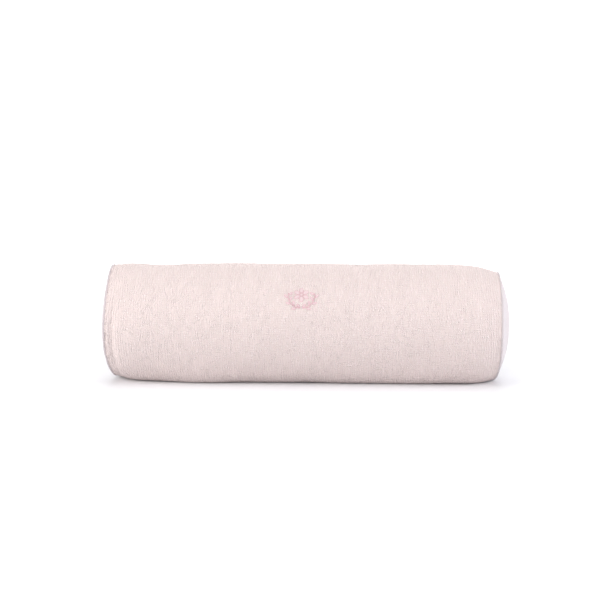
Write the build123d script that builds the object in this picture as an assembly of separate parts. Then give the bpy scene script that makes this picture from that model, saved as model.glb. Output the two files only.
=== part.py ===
"""Bolster pillow: a zip-off cover over a wadded foam roll, lying on its flattened underside.

X runs along the roll, the embroidered front faces -Y and the zip is at the back. The origin
is on the table, under the middle of the roll. Lengths are in millimetres.
"""

from build123d import *

import os
from math import cos, radians, sin

# ---- the roll ----
SEAM_SPAN = 586.0  # from one end seam to the other
ROLL_RADIUS = 90.0  # over the long straight middle
END_TAPER = 7.5  # how much smaller the radius is at an end seam
SHOULDER_LENGTH = 47.0  # stretch over which the roll narrows to its end seam
DOME_HEIGHT = 15.0  # how far a round end swells out past its seam
REST_DEPTH = 4.5  # how far the underside is pressed in by the weight

# ---- cloth and filling ----
COVER_WALL = 0.9
LINER_WALL = 0.5
WADDING_THICKNESS = 9.0
END_PAD_THICKNESS = 16.0  # wadding pad at each end, from its flat back to the end seam
SEWN_GAP = 0.05  # between layers that are stitched together
SOFT_CLEARANCE = 0.3  # between layers that only lie on each other

# ---- piping in the end seams ----
PIPING_CORD_DIAMETER = 2.2
PIPING_SLEEVE_WALL = 0.5
SEAM_ALLOWANCE = 10.0

# ---- zip ----
ZIP_ANGLE = 12.0  # degrees above horizontal, round the roll from its back
ZIP_END_MARGIN = 58.0  # from an end seam to the end of the zip's opening
SLOT_WIDTH = 12.5  # the cover's opening over the chain
TAPE_WIDTH = 13.75
TAPE_THICKNESS = 0.5
TAPE_TAIL = 10.0  # length of tape past each end of the opening
CHAIN_SPLIT = 2.5  # between the two tapes' inner edges
COIL_WIDTH = 3.0
COIL_HEIGHT = 2.0
COIL_ROUNDING = 0.6
COIL_GAP = 0.12  # between the two coils, as drawn
STOP_MARGIN = 4.0  # from the end of the opening to the outer end of a stop
TOP_STOP_LENGTH = 2.5
TOP_STOP_WIDTH = 2.1
TOP_STOP_HEIGHT = 1.6
BOTTOM_STOP_LENGTH = 4.0
BOTTOM_STOP_HEIGHT = 2.4
STOP_ROUNDING = 0.5
STOP_CLEARANCE = 0.3  # between the slider and a stop at either end of its travel

# ---- slider ----
SLIDER_LENGTH = 11.0
SLIDER_MOUTH_WIDTH = 9.4
SLIDER_TAIL_WIDTH = 8.4
SLIDER_NOSE_WIDTH = 7.0  # across the chamfered front edge
SLIDER_NOSE_LENGTH = 1.8
SLIDER_CORNER = 0.9
PLATE_THICKNESS = 1.1
UNDER_PLATE_THICKNESS = 0.9
CHANNEL_CLEARANCE = 0.3  # round the coils and the tapes
NECK_WIDTH = 1.9
NECK_LENGTH = 2.7
NECK_SETBACK = 0.5  # from the slider's front edge to the neck
NECK_TO_COIL = 0.25
BRIDGE_LENGTH = 6.0
BRIDGE_WIDTH = 1.6
BRIDGE_POST = 1.2
BRIDGE_ARCH = 1.0
BRIDGE_ROUNDING = 1.3

# ---- pull tab ----
PULL_BAR_DIAMETER = 1.1
BAR_CLEARANCE = 0.27  # round the bar, inside the bridge
PULL_LENGTH = 23.0  # from the bar to the tip
PULL_HEAD_WIDTH = 5.2
PULL_BODY_WIDTH = 6.6
PULL_HEAD_LENGTH = 6.4
PULL_WINDOW_WIDTH = 2.5
PULL_WINDOW_END = 4.6  # from the bar's axis to the far end of the window
PULL_HOLE_DIAMETER = 2.4
PULL_HOLE_MARGIN = 4.2  # from the tip to the centre of the hole

# ---- embroidered motif and its backing ----
MOTIF_ANGLE = 33.0  # degrees above horizontal, round the roll from its front
MOTIF_OFFSET = -3.0  # along the roll from its middle
STITCH_HEIGHT = 0.6
PETAL_COUNT = 6
PETAL_LENGTH = 8.4
PETAL_WIDTH = 5.4
PETAL_REACH = 7.2  # from the flower's centre to a petal's centre
FLOWER_EYE_DIAMETER = 4.4
FLOWER_RISE = 6.2  # of the flower's centre above the middle of the motif
SPRIG_RADIUS = 19.5  # of the arc that both sprigs lie on
SPRIG_BOTTOM = -15.3  # lowest point of that arc, from the middle of the motif
SPRIG_START = 5.0  # degrees along the arc from its lowest point
SPRIG_END = 104.0
SPRIG_WIDTH = 1.1
LEAF_ANGLES = (14.0, 29.0, 44.0, 59.0, 74.0, 89.0, 104.0)  # degrees along the arc
LEAF_LENGTH = 6.6
LEAF_WIDTH = 2.7
LEAF_LEAN = 38.0  # degrees between a leaf and its stem
LEAF_OFFSET = 3.2  # from the stem's middle line to a leaf's centre
BACKING_LENGTH = 60.0
BACKING_HEIGHT = 44.0
BACKING_THICKNESS = 0.3

# ---- care label, sewn in the seam past the closed end of the zip ----
LABEL_MARGIN = 12.0  # from the end of the zip's opening
LABEL_WIDTH = 30.0
LABEL_DROP = 42.0
LABEL_THICKNESS = 0.4

# ---- worked out from the sizes above ----
HALF_SPAN = SEAM_SPAN / 2
HALF_STRAIGHT = HALF_SPAN - SHOULDER_LENGTH
END_RADIUS = ROLL_RADIUS - END_TAPER
AXIS_HEIGHT = ROLL_RADIUS - REST_DEPTH
PIPING_RADIUS = PIPING_CORD_DIAMETER / 2 + PIPING_SLEEVE_WALL
TAPE_INSET = COVER_WALL + SEWN_GAP
FLANGE_INSET = COVER_WALL + SEWN_GAP
LINER_INSET = FLANGE_INSET + PIPING_SLEEVE_WALL + SOFT_CLEARANCE
WADDING_INSET = LINER_INSET + LINER_WALL + SOFT_CLEARANCE
FOAM_INSET = WADDING_INSET + WADDING_THICKNESS + SOFT_CLEARANCE
FOAM_HALF = HALF_SPAN - END_PAD_THICKNESS

HALF_OPENING = HALF_SPAN - ZIP_END_MARGIN
COIL_TOP = COIL_HEIGHT - TAPE_INSET
CHANNEL_HALF = COIL_GAP / 2 + COIL_WIDTH + CHANNEL_CLEARANCE
PLATE_BOTTOM = COIL_TOP + CHANNEL_CLEARANCE
PLATE_TOP = PLATE_BOTTOM + PLATE_THICKNESS
FLANGE_BOTTOM = CHANNEL_CLEARANCE - TAPE_INSET
TAPE_CURVE = (SLIDER_MOUTH_WIDTH / 2) ** 2 / (2 * ROLL_RADIUS)  # fall of the tape at the slider's edge
UNDER_PLATE_TOP = -TAPE_INSET - TAPE_THICKNESS - TAPE_CURVE - CHANNEL_CLEARANCE
UNDER_PLATE_BOTTOM = UNDER_PLATE_TOP - UNDER_PLATE_THICKNESS
BED_DEPTH = SOFT_CLEARANCE - UNDER_PLATE_BOTTOM  # flat along the filling that the slider runs over
BAR_HEIGHT = PLATE_TOP + BAR_CLEARANCE + PULL_BAR_DIAMETER / 2
BRIDGE_GAP = PULL_BAR_DIAMETER + 2 * BAR_CLEARANCE
BRIDGE_TOP = PLATE_TOP + BRIDGE_GAP + BRIDGE_ARCH

TOP_STOP_INNER = -HALF_OPENING + STOP_MARGIN + TOP_STOP_LENGTH
BOTTOM_STOP_INNER = HALF_OPENING - STOP_MARGIN - BOTTOM_STOP_LENGTH
SLIDER_CLOSED = TOP_STOP_INNER + STOP_CLEARANCE + SLIDER_LENGTH / 2
SLIDER_OPEN = BOTTOM_STOP_INNER - STOP_CLEARANCE - SLIDER_LENGTH / 2

ROOM = 4 * (HALF_SPAN + ROLL_RADIUS)  # a box side that is larger than the whole roll


def frame_at(angle, back):
    """A plane on the roll's surface: x along the roll, y up round it, z straight out of it."""
    side = 1 if back else -1
    outward = Vector(0, side * cos(radians(angle)), sin(radians(angle)))
    middle = Vector(0, 0, AXIS_HEIGHT) + outward * ROLL_RADIUS
    return Plane(origin=middle, x_dir=(-side, 0, 0), z_dir=outward)


ZIP_FRAME = frame_at(ZIP_ANGLE, back=True)
MOTIF_FRAME = frame_at(MOTIF_ANGLE, back=False)


# ---- shapes that several pieces share ----
def roll_form(inset, bedded=False):
    """The filled roll, shrunk by inset all over and pressed flat underneath.

    A bedded form also has a shallow flat along the zip, so that the slider passes over it.
    """
    half = HALF_SPAN - inset
    radius = ROLL_RADIUS - inset
    end_radius = END_RADIUS - inset
    tip = half + DOME_HEIGHT
    shoulder = TangentArc((HALF_STRAIGHT, radius), (half, end_radius), tangent=(1, 0))
    dome = TangentArc((tip, 0), (half, end_radius), tangent=(0, 1))
    edges = [
        Line((-HALF_STRAIGHT, radius), (HALF_STRAIGHT, radius)),
        shoulder,
        dome,
        Line((-tip, 0), (tip, 0)),
        mirror(shoulder, about=Plane.YZ),
        mirror(dome, about=Plane.YZ),
    ]
    solid = revolve(make_face(edges), axis=Axis.X)
    solid = Pos(0, 0, AXIS_HEIGHT) * Rot(-90, 0, 0) * solid
    solid = split(solid, bisect_by=Plane((0, 0, inset)), keep=Keep.TOP)
    if bedded:
        depth = BED_DEPTH + inset - LINER_INSET
        bed = ZIP_FRAME.offset(-depth)
        solid = split(solid, bisect_by=bed, keep=Keep.BOTTOM)
    return solid


def layer(outer, inner, bedded=False):
    """The closed skin between two insets of the roll."""
    return roll_form(outer, bedded) - roll_form(inner, bedded)


def between(low, high):
    """Everything from one place along the roll to another."""
    return Pos((low + high) / 2, 0, 0) * Box(high - low, ROOM, ROOM)


def block(frame, x, y, z):
    """A box in a surface frame, from three pairs of limits."""
    middle = [(pair[0] + pair[1]) / 2 for pair in (x, y, z)]
    return frame * Pos(*middle) * Box(x[1] - x[0], y[1] - y[0], z[1] - z[0])


def patch(frame, outer, inner, x, y):
    """The piece of a thin layer that lies over a rectangle of a surface frame."""
    depth = (-ROLL_RADIUS / 2, ROLL_RADIUS / 2)
    return layer(outer, inner) & block(frame, x, y, depth)


def seam_ring(side, radius):
    """A round ring of cord along one end seam."""
    ring = Rot(0, 90, 0) * Torus(END_RADIUS, radius)
    return Pos(side * HALF_SPAN, 0, AXIS_HEIGHT) * ring


def end_side(side, start):
    """Everything past one place towards one end."""
    far = 2 * HALF_SPAN
    return between(start, far) if side > 0 else between(-far, -start)


# ---- filling ----
def foam_core():
    return roll_form(FOAM_INSET, bedded=True) & between(-FOAM_HALF, FOAM_HALF)


def wadding_wrap():
    wrap = layer(WADDING_INSET, FOAM_INSET - SOFT_CLEARANCE, bedded=True)
    return wrap & between(-FOAM_HALF, FOAM_HALF)


def wadding_end(side):
    return roll_form(WADDING_INSET, bedded=True) & end_side(side, FOAM_HALF + SOFT_CLEARANCE)


# ---- inner case ----
LINER_SEAM = HALF_SPAN - LINER_INSET - LINER_WALL


def liner_tube():
    skin = layer(LINER_INSET, LINER_INSET + LINER_WALL, bedded=True)
    return skin & between(-LINER_SEAM, LINER_SEAM)


def liner_end(side):
    skin = layer(LINER_INSET, LINER_INSET + LINER_WALL, bedded=True)
    return skin & end_side(side, LINER_SEAM + SEWN_GAP)


# ---- cover and piping ----
COVER_SEAM = HALF_SPAN - COVER_WALL  # where the panels meet, hidden under the piping


def cover_tube():
    """The long panel, open along the zip, ending against the piping."""
    tube = layer(0, COVER_WALL) & between(-COVER_SEAM, COVER_SEAM)
    for side in (-1, 1):
        tube -= seam_ring(side, PIPING_RADIUS + SEWN_GAP)
    half_slot = SLOT_WIDTH / 2
    opening = (-HALF_OPENING, HALF_OPENING)
    return tube - block(ZIP_FRAME, opening, (-half_slot, half_slot), (-half_slot, half_slot))


def cover_end(side):
    panel = layer(0, COVER_WALL) & end_side(side, COVER_SEAM)
    return panel - seam_ring(side, PIPING_RADIUS + SEWN_GAP)


def piping_cord(side):
    return seam_ring(side, PIPING_CORD_DIAMETER / 2)


def piping_sleeve(side):
    """Cloth wrapped round the cord, with its flange turned in under the long panel."""
    corner = HALF_SPAN - FLANGE_INSET
    strip = (corner - SEAM_ALLOWANCE, corner)
    limits = strip if side > 0 else (-strip[1], -strip[0])
    flange = layer(FLANGE_INSET, FLANGE_INSET + PIPING_SLEEVE_WALL) & between(*limits)
    sleeve = seam_ring(side, PIPING_RADIUS) + flange
    return sleeve - seam_ring(side, PIPING_CORD_DIAMETER / 2)


# ---- embroidery ----
def petals():
    """Ellipses round the flower's centre, and its round eye."""
    faces = [Pos(0, FLOWER_RISE) * Circle(FLOWER_EYE_DIAMETER / 2)]
    petal = Pos(0, PETAL_REACH) * Ellipse(PETAL_WIDTH / 2, PETAL_LENGTH / 2)
    for number in range(PETAL_COUNT):
        turn = 360 * number / PETAL_COUNT
        faces.append(Pos(0, FLOWER_RISE) * Rot(0, 0, turn) * petal)
    return faces


def sprig(side):
    """One leafy stem that sweeps out and up from under the flower."""
    centre = (0, SPRIG_BOTTOM + SPRIG_RADIUS)
    stem = Pos(*centre) * (
        Circle(SPRIG_RADIUS + SPRIG_WIDTH / 2) - Circle(SPRIG_RADIUS - SPRIG_WIDTH / 2)
    )
    reach = 2 * SPRIG_RADIUS
    start = radians(SPRIG_START)
    end = radians(SPRIG_END)
    wedge = Polyline(
        (0, 0),
        (side * reach * sin(start), -reach * cos(start)),
        (side * reach * sin(end), -reach * cos(end)),
        close=True,
    )
    faces = [stem & (Pos(*centre) * make_face(wedge))]
    for number, along in enumerate(LEAF_ANGLES):
        outward = 1 if number % 2 else -1
        lean = side * (along + outward * -LEAF_LEAN)
        distance = SPRIG_RADIUS + outward * LEAF_OFFSET
        place = (side * distance * sin(radians(along)), -distance * cos(radians(along)))
        leaf = Ellipse(LEAF_LENGTH / 2, LEAF_WIDTH / 2)
        faces.append(Pos(*centre) * Pos(*place) * Rot(0, 0, lean) * leaf)
    return faces


def embroidered_motif():
    """A small flower between two sprigs, raised on the cover as satin stitch."""
    reach = (-BACKING_LENGTH / 2 + MOTIF_OFFSET, BACKING_LENGTH / 2 + MOTIF_OFFSET)
    rise = (-BACKING_HEIGHT / 2, BACKING_HEIGHT / 2)
    skin = patch(MOTIF_FRAME, -STITCH_HEIGHT - SEWN_GAP, -SEWN_GAP, reach, rise)
    pieces = []
    for face in petals() + sprig(-1) + sprig(1):
        prism = extrude(Pos(MOTIF_OFFSET, 0, 0) * face, ROLL_RADIUS / 2, both=True)
        pieces += (skin & (MOTIF_FRAME * prism)).solids()
    return Compound(pieces)


def embroidery_backing():
    reach = (-BACKING_LENGTH / 2 + MOTIF_OFFSET, BACKING_LENGTH / 2 + MOTIF_OFFSET)
    rise = (-BACKING_HEIGHT / 2, BACKING_HEIGHT / 2)
    inset = COVER_WALL + SEWN_GAP
    return patch(MOTIF_FRAME, inset, inset + BACKING_THICKNESS, reach, rise)


# ---- zip chain ----
def zip_tape(side):
    """One tape, stitched behind the cover along an edge of its opening."""
    edge = CHAIN_SPLIT / 2
    width = (edge, edge + TAPE_WIDTH) if side > 0 else (-edge - TAPE_WIDTH, -edge)
    reach = (-HALF_OPENING - TAPE_TAIL, HALF_OPENING + TAPE_TAIL)
    return patch(ZIP_FRAME, TAPE_INSET, TAPE_INSET + TAPE_THICKNESS, reach, width)


def zip_coil(side):
    """The envelope of one coil, from the closed slider's neck to the bottom stop."""
    neck_end = SLIDER_CLOSED - SLIDER_LENGTH / 2 + NECK_SETBACK + NECK_LENGTH
    start = neck_end + NECK_TO_COIL
    end = BOTTOM_STOP_INNER - SEWN_GAP
    length = end - start
    strip = Box(length, COIL_WIDTH, COIL_HEIGHT - SEWN_GAP)
    strip = fillet(strip.edges().filter_by(Axis.X), COIL_ROUNDING)
    across = side * (COIL_GAP + COIL_WIDTH) / 2
    height = COIL_TOP - (COIL_HEIGHT - SEWN_GAP) / 2
    return ZIP_FRAME * Pos((start + end) / 2, across, height) * strip


def zip_top_stops():
    """Two small metal clamps, one on each tape, that the closed slider meets."""
    stops = []
    stop = Box(TOP_STOP_LENGTH, TOP_STOP_WIDTH, TOP_STOP_HEIGHT)
    stop = fillet(stop.edges(), STOP_ROUNDING)
    height = TOP_STOP_HEIGHT / 2 - TAPE_INSET + SEWN_GAP
    for side in (-1, 1):
        across = side * (CHAIN_SPLIT / 2 + TOP_STOP_WIDTH / 2)
        stops.append(ZIP_FRAME * Pos(TOP_STOP_INNER - TOP_STOP_LENGTH / 2, across, height) * stop)
    return Compound(stops)


def zip_bottom_stop():
    width = COIL_GAP + 2 * COIL_WIDTH
    stop = Box(BOTTOM_STOP_LENGTH, width, BOTTOM_STOP_HEIGHT)
    stop = fillet(stop.edges(), STOP_ROUNDING)
    height = BOTTOM_STOP_HEIGHT / 2 - TAPE_INSET + SEWN_GAP
    return ZIP_FRAME * Pos(BOTTOM_STOP_INNER + BOTTOM_STOP_LENGTH / 2, 0, height) * stop


# ---- slider and pull, drawn at the closed end of the zip ----
SLIDER_PLACE = ZIP_FRAME * Pos(SLIDER_CLOSED, 0, 0)


def slider_outline():
    """The slider's plate seen from outside, its mouth towards -x."""
    front = -SLIDER_LENGTH / 2
    back = SLIDER_LENGTH / 2
    points = [
        (front, SLIDER_NOSE_WIDTH / 2),
        (front + SLIDER_NOSE_LENGTH, SLIDER_MOUTH_WIDTH / 2),
        (back, SLIDER_TAIL_WIDTH / 2),
    ]
    mirrored = [(x, -y) for x, y in reversed(points)]
    outline = make_face(Polyline(*points, *mirrored, close=True))
    return fillet(outline.vertices(), SLIDER_CORNER)


def slab(face, low, high):
    """A flat face made solid between two heights above the roll."""
    return Pos(0, 0, low) * extrude(face, high - low)


def slider_bridge():
    """The arch on the slider's top plate that holds the pull."""
    height = BRIDGE_TOP - PLATE_TOP
    arch = Pos(0, 0, PLATE_TOP + height / 2) * Box(BRIDGE_LENGTH, BRIDGE_WIDTH, height)
    top_corners = arch.edges().filter_by(Axis.Y).group_by(Axis.Z)[-1]
    arch = fillet(top_corners, BRIDGE_ROUNDING)
    gap_length = BRIDGE_LENGTH - 2 * BRIDGE_POST
    gap = Pos(0, 0, PLATE_TOP + BRIDGE_GAP / 2) * Box(gap_length, BRIDGE_WIDTH, BRIDGE_GAP)
    return arch - gap


def slider_body():
    outline = slider_outline()
    shell = slab(outline, FLANGE_BOTTOM, PLATE_TOP)
    channel = Rectangle(2 * SLIDER_LENGTH, 2 * CHANNEL_HALF)
    shell -= slab(channel, FLANGE_BOTTOM, PLATE_BOTTOM)
    under_plate = slab(outline, UNDER_PLATE_BOTTOM, UNDER_PLATE_TOP)
    neck_middle = -SLIDER_LENGTH / 2 + NECK_SETBACK + NECK_LENGTH / 2
    neck = Pos(neck_middle, 0) * SlotOverall(NECK_LENGTH, NECK_WIDTH)
    body = shell + under_plate + slab(neck, UNDER_PLATE_TOP, PLATE_BOTTOM) + slider_bridge()
    return SLIDER_PLACE * body


def slider_pull():
    """A flat tab that turns on the bridge, drawn lying back over the closed chain."""
    head = Pos(PULL_HEAD_LENGTH / 2, 0) * Rectangle(PULL_HEAD_LENGTH, PULL_HEAD_WIDTH)
    tip_radius = PULL_BODY_WIDTH / 2
    body_length = PULL_LENGTH - PULL_HEAD_LENGTH + tip_radius
    body_middle = PULL_LENGTH - body_length / 2
    plate = head + Pos(body_middle, 0) * SlotOverall(body_length, PULL_BODY_WIDTH)
    plate -= Pos(PULL_WINDOW_END / 2, 0) * Rectangle(PULL_WINDOW_END, PULL_WINDOW_WIDTH)
    plate -= Pos(PULL_LENGTH - PULL_HOLE_MARGIN, 0) * Circle(PULL_HOLE_DIAMETER / 2)
    half = PULL_BAR_DIAMETER / 2
    bar = Rot(90, 0, 0) * Cylinder(half, PULL_HEAD_WIDTH)
    pull = slab(plate, -half, half) + bar
    return SLIDER_PLACE * Pos(0, 0, BAR_HEIGHT) * pull


# ---- care label ----
def care_label():
    """A blank tape label that hangs from the plain seam past the zip."""
    start = HALF_OPENING + LABEL_MARGIN
    reach = (start, start + LABEL_WIDTH)
    return patch(
        ZIP_FRAME, -LABEL_THICKNESS - SEWN_GAP, -SEWN_GAP, reach, (-LABEL_DROP, 0)
    )


def build_parts():
    """Every node of the pillow, by name."""
    parts = {
        "foam_core": foam_core(),
        "wadding_wrap": wadding_wrap(),
        "liner_tube": liner_tube(),
        "cover_tube": cover_tube(),
        "embroidered_motif": embroidered_motif(),
        "embroidery_backing": embroidery_backing(),
        "zip_upper_tape": zip_tape(1),
        "zip_lower_tape": zip_tape(-1),
        "zip_upper_coil": zip_coil(1),
        "zip_lower_coil": zip_coil(-1),
        "zip_top_stops": zip_top_stops(),
        "zip_bottom_stop": zip_bottom_stop(),
        "care_label": care_label(),
        "slider_body": slider_body(),
        "slider_pull": slider_pull(),
    }
    for name, side in (("left", -1), ("right", 1)):
        parts[f"wadding_{name}_end"] = wadding_end(side)
        parts[f"liner_{name}_end"] = liner_end(side)
        parts[f"cover_{name}_end"] = cover_end(side)
        parts[f"{name}_piping_cord"] = piping_cord(side)
        parts[f"{name}_piping_sleeve"] = piping_sleeve(side)
    return parts


def print_joints():
    """The slider's travel and the pull's pivot, in metres; the pull lifts off the chain."""
    pivot = (SLIDER_PLACE * Pos(0, 0, BAR_HEIGHT)).position
    across = -ZIP_FRAME.y_dir
    print("slide axis", tuple(ZIP_FRAME.x_dir), "travel", (SLIDER_OPEN - SLIDER_CLOSED) / 1000)
    print("pull pivot", tuple(round(value / 1000, 6) for value in pivot))
    print("pull axis", tuple(round(value, 6) for value in across))


def main():
    os.makedirs("parts", exist_ok=True)
    for name, shape in build_parts().items():
        export_step(shape, f"parts/{name}.step")
    print_joints()


main()
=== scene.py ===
"""Bolster pillow for a massage table: its cloth, piping, zip and embroidery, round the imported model.

X runs along the roll, the embroidered front faces -Y and the zip is at the back. The sizes of
the pillow are in millimetres, and become metres as each mesh is made. An angle round the roll
starts at its back, is a quarter turn at the top and half a turn at the front.
"""

import logging
import math
import random
from dataclasses import dataclass, field
from enum import Enum

import bmesh
import bpy
import numpy as np
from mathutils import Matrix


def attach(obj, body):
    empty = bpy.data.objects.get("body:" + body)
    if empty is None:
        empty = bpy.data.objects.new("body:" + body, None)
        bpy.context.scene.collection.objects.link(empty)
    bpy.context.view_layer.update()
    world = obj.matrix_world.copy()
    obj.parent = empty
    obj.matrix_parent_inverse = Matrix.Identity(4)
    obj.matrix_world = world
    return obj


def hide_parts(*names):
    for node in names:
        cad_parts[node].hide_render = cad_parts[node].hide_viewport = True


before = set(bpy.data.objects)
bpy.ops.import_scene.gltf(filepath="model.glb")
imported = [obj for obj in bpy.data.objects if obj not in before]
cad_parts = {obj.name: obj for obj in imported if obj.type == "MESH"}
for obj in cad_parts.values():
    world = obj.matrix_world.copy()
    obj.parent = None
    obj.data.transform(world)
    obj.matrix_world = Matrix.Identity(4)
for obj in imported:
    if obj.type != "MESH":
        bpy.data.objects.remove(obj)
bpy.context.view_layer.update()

MM = 0.001
TURN = 2 * math.pi
CLOTH_UV = "cloth"
MATH, VECTOR_MATH, NOISE = "ShaderNodeMath", "ShaderNodeVectorMath", "ShaderNodeTexNoise"
SHARP_EDGE = math.radians(50)

log = logging.getLogger("bolster")

Socket = bpy.types.NodeSocket
Material = bpy.types.Material
Object = bpy.types.Object
Node = bpy.types.Node
Tree = bpy.types.NodeTree
Outputs = bpy.types.NodeOutputs
Array = np.ndarray
Feed = Socket | Node  # what an input may be linked to; a node stands for its first output in use


class Side(Enum):
    """The two ends of the roll."""

    LEFT = -1
    RIGHT = 1

    @property
    def word(self) -> str:
        """The end's name in a piece's name."""
        return self.name.lower()


# ---------------- small tools


def linear_colour(code: str) -> tuple[float, float, float, float]:
    """Turns an sRGB hex colour into the linear colour that a socket takes.

    Args:
        code: six hex digits after a hash sign.

    Returns:
        Red, green, blue and an alpha of one.
    """
    parts = [int(code[i : i + 2], 16) / 255 for i in (1, 3, 5)]
    light = [p / 12.92 if p <= 0.04045 else ((p + 0.055) / 1.055) ** 2.4 for p in parts]
    return (*light, 1.0)


def add_node(tree: Tree, kind: str, inputs: dict | tuple | list = (), **settings: object) -> Node:
    """Adds a node to a tree.

    Args:
        tree: the node tree.
        kind: the node's type name.
        inputs: values to set, or nodes and sockets to link, by the input's name or number, or in order.
        **settings: the node's own properties, set first.

    Returns:
        The new node.
    """
    node = tree.nodes.new(kind)
    for name, value in settings.items():
        setattr(node, name, value)
    for name, value in inputs.items() if isinstance(inputs, dict) else enumerate(inputs):
        if isinstance(name, str):
            socket = next(one for one in node.inputs if one.name == name and one.enabled)
        else:
            socket = node.inputs[name]
        if isinstance(value, Node):
            value = next(one for one in value.outputs if one.enabled)
        if isinstance(value, Socket):
            tree.links.new(value, socket)
        else:
            socket.default_value = value
    return node


def smooth(value: Array) -> Array:
    """An even S-curve from 0 to 1."""
    part = np.clip(value, 0.0, 1.0)
    return part * part * (3 - 2 * part)


def turn_between(angle: Array, start: float) -> Array:
    """The shortest turn from one angle to others, in radians, from minus pi to pi."""
    return (np.asarray(angle) - start + math.pi) % TURN - math.pi


def bell(value: Array) -> Array:
    """A soft hump, one high in its middle and about one wide each way."""
    return np.exp(-(value**2))


def bell_round(around: Array, middle: float, spread: float) -> Array:
    """A soft hump round the roll, from its middle and its spread in degrees."""
    return bell(turn_between(around, math.radians(middle)) / math.radians(spread))


def angles_round(count: int) -> Array:
    """Even angles once round the roll."""
    return np.arange(count) * TURN / count


def unit(vectors: Array) -> Array:
    """Each row of vectors, made one long."""
    return vectors / np.maximum(np.linalg.norm(vectors, axis=-1, keepdims=True), 1e-12)


# ---------------- meshes


def place_in_scene(name: str, data: bpy.types.ID) -> Object:
    """Makes an object for a mesh, a light or a camera, at the origin.

    Args:
        name: the object's name.
        data: what it shows.

    Returns:
        The object, in the scene.
    """
    thing = bpy.data.objects.new(name, data)
    bpy.context.scene.collection.objects.link(thing)
    return thing


def make_object(name: str, points: Array, faces: Array | list, uv: Array | None = None) -> Object:
    """Makes a smooth-shaded mesh object at the origin.

    Args:
        name: the piece's name.
        points: vertices, in millimetres.
        faces: rows of vertex numbers.
        uv: a place on the cloth for each vertex, in millimetres.

    Returns:
        The object, in the scene.
    """
    mesh = bpy.data.meshes.new(name)
    mesh.from_pydata((points * MM).tolist(), [], [list(map(int, face)) for face in faces])
    mesh.shade_smooth()
    mesh.set_sharp_from_angle(angle=SHARP_EDGE)
    if uv is not None:
        corner = np.zeros(len(mesh.loops), np.int32)
        mesh.loops.foreach_get("vertex_index", corner)
        layer = mesh.uv_layers.new(name=CLOTH_UV)
        layer.data.foreach_set("uv", (uv[corner] * MM).astype(np.float32).ravel())
    return place_in_scene(name, mesh)


def grid_faces(rows: int, columns: int, wrap: bool) -> Array:
    """Quads over a grid whose vertices are numbered row by row.

    Args:
        rows: how many rows of vertices.
        columns: how many vertices in a row.
        wrap: whether each row closes on itself.

    Returns:
        Rows of four vertex numbers.
    """
    sides = columns if wrap else columns - 1
    i, j = np.meshgrid(np.arange(rows - 1), np.arange(sides), indexing="ij")
    after = (j + 1) % columns
    quads = (i * columns + j, i * columns + after, (i + 1) * columns + after, (i + 1) * columns + j)
    return np.stack([quad.ravel() for quad in quads], axis=1)


def rim_faces(outer: Array, inner: Array) -> Array:
    """Quads that join two matching borders, given as lists of vertex numbers."""
    return np.stack([outer[:-1], outer[1:], inner[1:], inner[:-1]], axis=1)


def skin_piece(name: str, outer: Array, inner: Array, uv: Array, wrap: bool = False) -> Object:
    """Makes a closed cloth piece from its two faces.

    Args:
        name: the piece's name.
        outer: the outer face's grid of points, of rows along the roll and columns round it.
        inner: the inner face's grid.
        uv: a place on the cloth for each point of the grid.
        wrap: whether the rows close on themselves.

    Returns:
        The object.
    """
    rows, columns = outer.shape[:2]
    count = rows * columns
    quads = grid_faces(rows, columns, wrap)
    number = np.arange(count).reshape(rows, columns)
    across = np.append(np.arange(columns), 0) if wrap else np.arange(columns)
    borders = [number[0, across][::-1], number[-1, across]]
    if not wrap:
        borders += [number[:, 0], number[::-1, -1]]
    faces = [quads, quads[:, ::-1] + count] + [rim_faces(b, b + count) for b in borders]
    points = np.concatenate([outer.reshape(-1, 3), inner.reshape(-1, 3)])
    places = np.tile(uv.reshape(-1, 2), (2, 1))
    return make_object(name, points, np.concatenate(faces), places)


def lathe_piece(name: str, rows: Array, uv: Array, flip: bool = False) -> Object:
    """Makes a closed form from rings of points whose first and last rings shrink to a point.

    Args:
        name: the piece's name.
        rows: rings of points, from one pole to the other.
        uv: a place on the cloth for each point.
        flip: whether the faces have to be turned round to point outwards.

    Returns:
        The object.
    """
    quads = grid_faces(rows.shape[0], rows.shape[1], wrap=True)
    piece = make_object(name, rows.reshape(-1, 3), quads[:, ::-1] if flip else quads, uv.reshape(-1, 2))
    form = bmesh.new()
    form.from_mesh(piece.data)
    bmesh.ops.remove_doubles(form, verts=form.verts, dist=1e-7)
    form.to_mesh(piece.data)
    form.free()
    return piece


def dress(piece: Object, body: str, slot: str, material: Material, *nodes: str) -> Object:
    """Gives a new piece its finish and its place in the frame, and hides the CAD nodes that it stands for.

    Args:
        piece: the new piece.
        body: the body that it rides on.
        slot: the record's material slot; not used.
        material: its finish.
        *nodes: the CAD nodes that it stands for.

    Returns:
        The piece.
    """
    if not piece.data.materials:
        piece.data.materials.append(material)
    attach(piece, body)
    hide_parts(*nodes)
    log.info("%s: %d faces", piece.name, len(piece.data.polygons))
    return piece


def refinish(node: str, material: Material) -> None:
    """Gives a CAD node that stays a better material.

    Args:
        node: the node's name.
        material: its finish.
    """
    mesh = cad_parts[node].data
    mesh.materials.clear()
    mesh.materials.append(material)
    log.info("%s: kept from the frame", node)


# ---------------- the roll's shape


@dataclass(frozen=True)
class EndRing:
    """How the roll narrows to one end seam and swells past it."""

    radius: float
    lift: float  # of the ring's middle above the roll's
    lift_reach: float  # along the roll
    curve: float  # how late the roll narrows, 2 for a round shoulder
    dome: float
    valley: float  # depth of the fold that runs beside the seam
    valley_gap: float = 8.4
    valley_width: float = 2.7
    tuck: float = 4.0  # how far the lowest part of the seam is drawn in along the roll
    bulge: float = 0.0  # how far the front of the seam is pushed out along the roll


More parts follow.
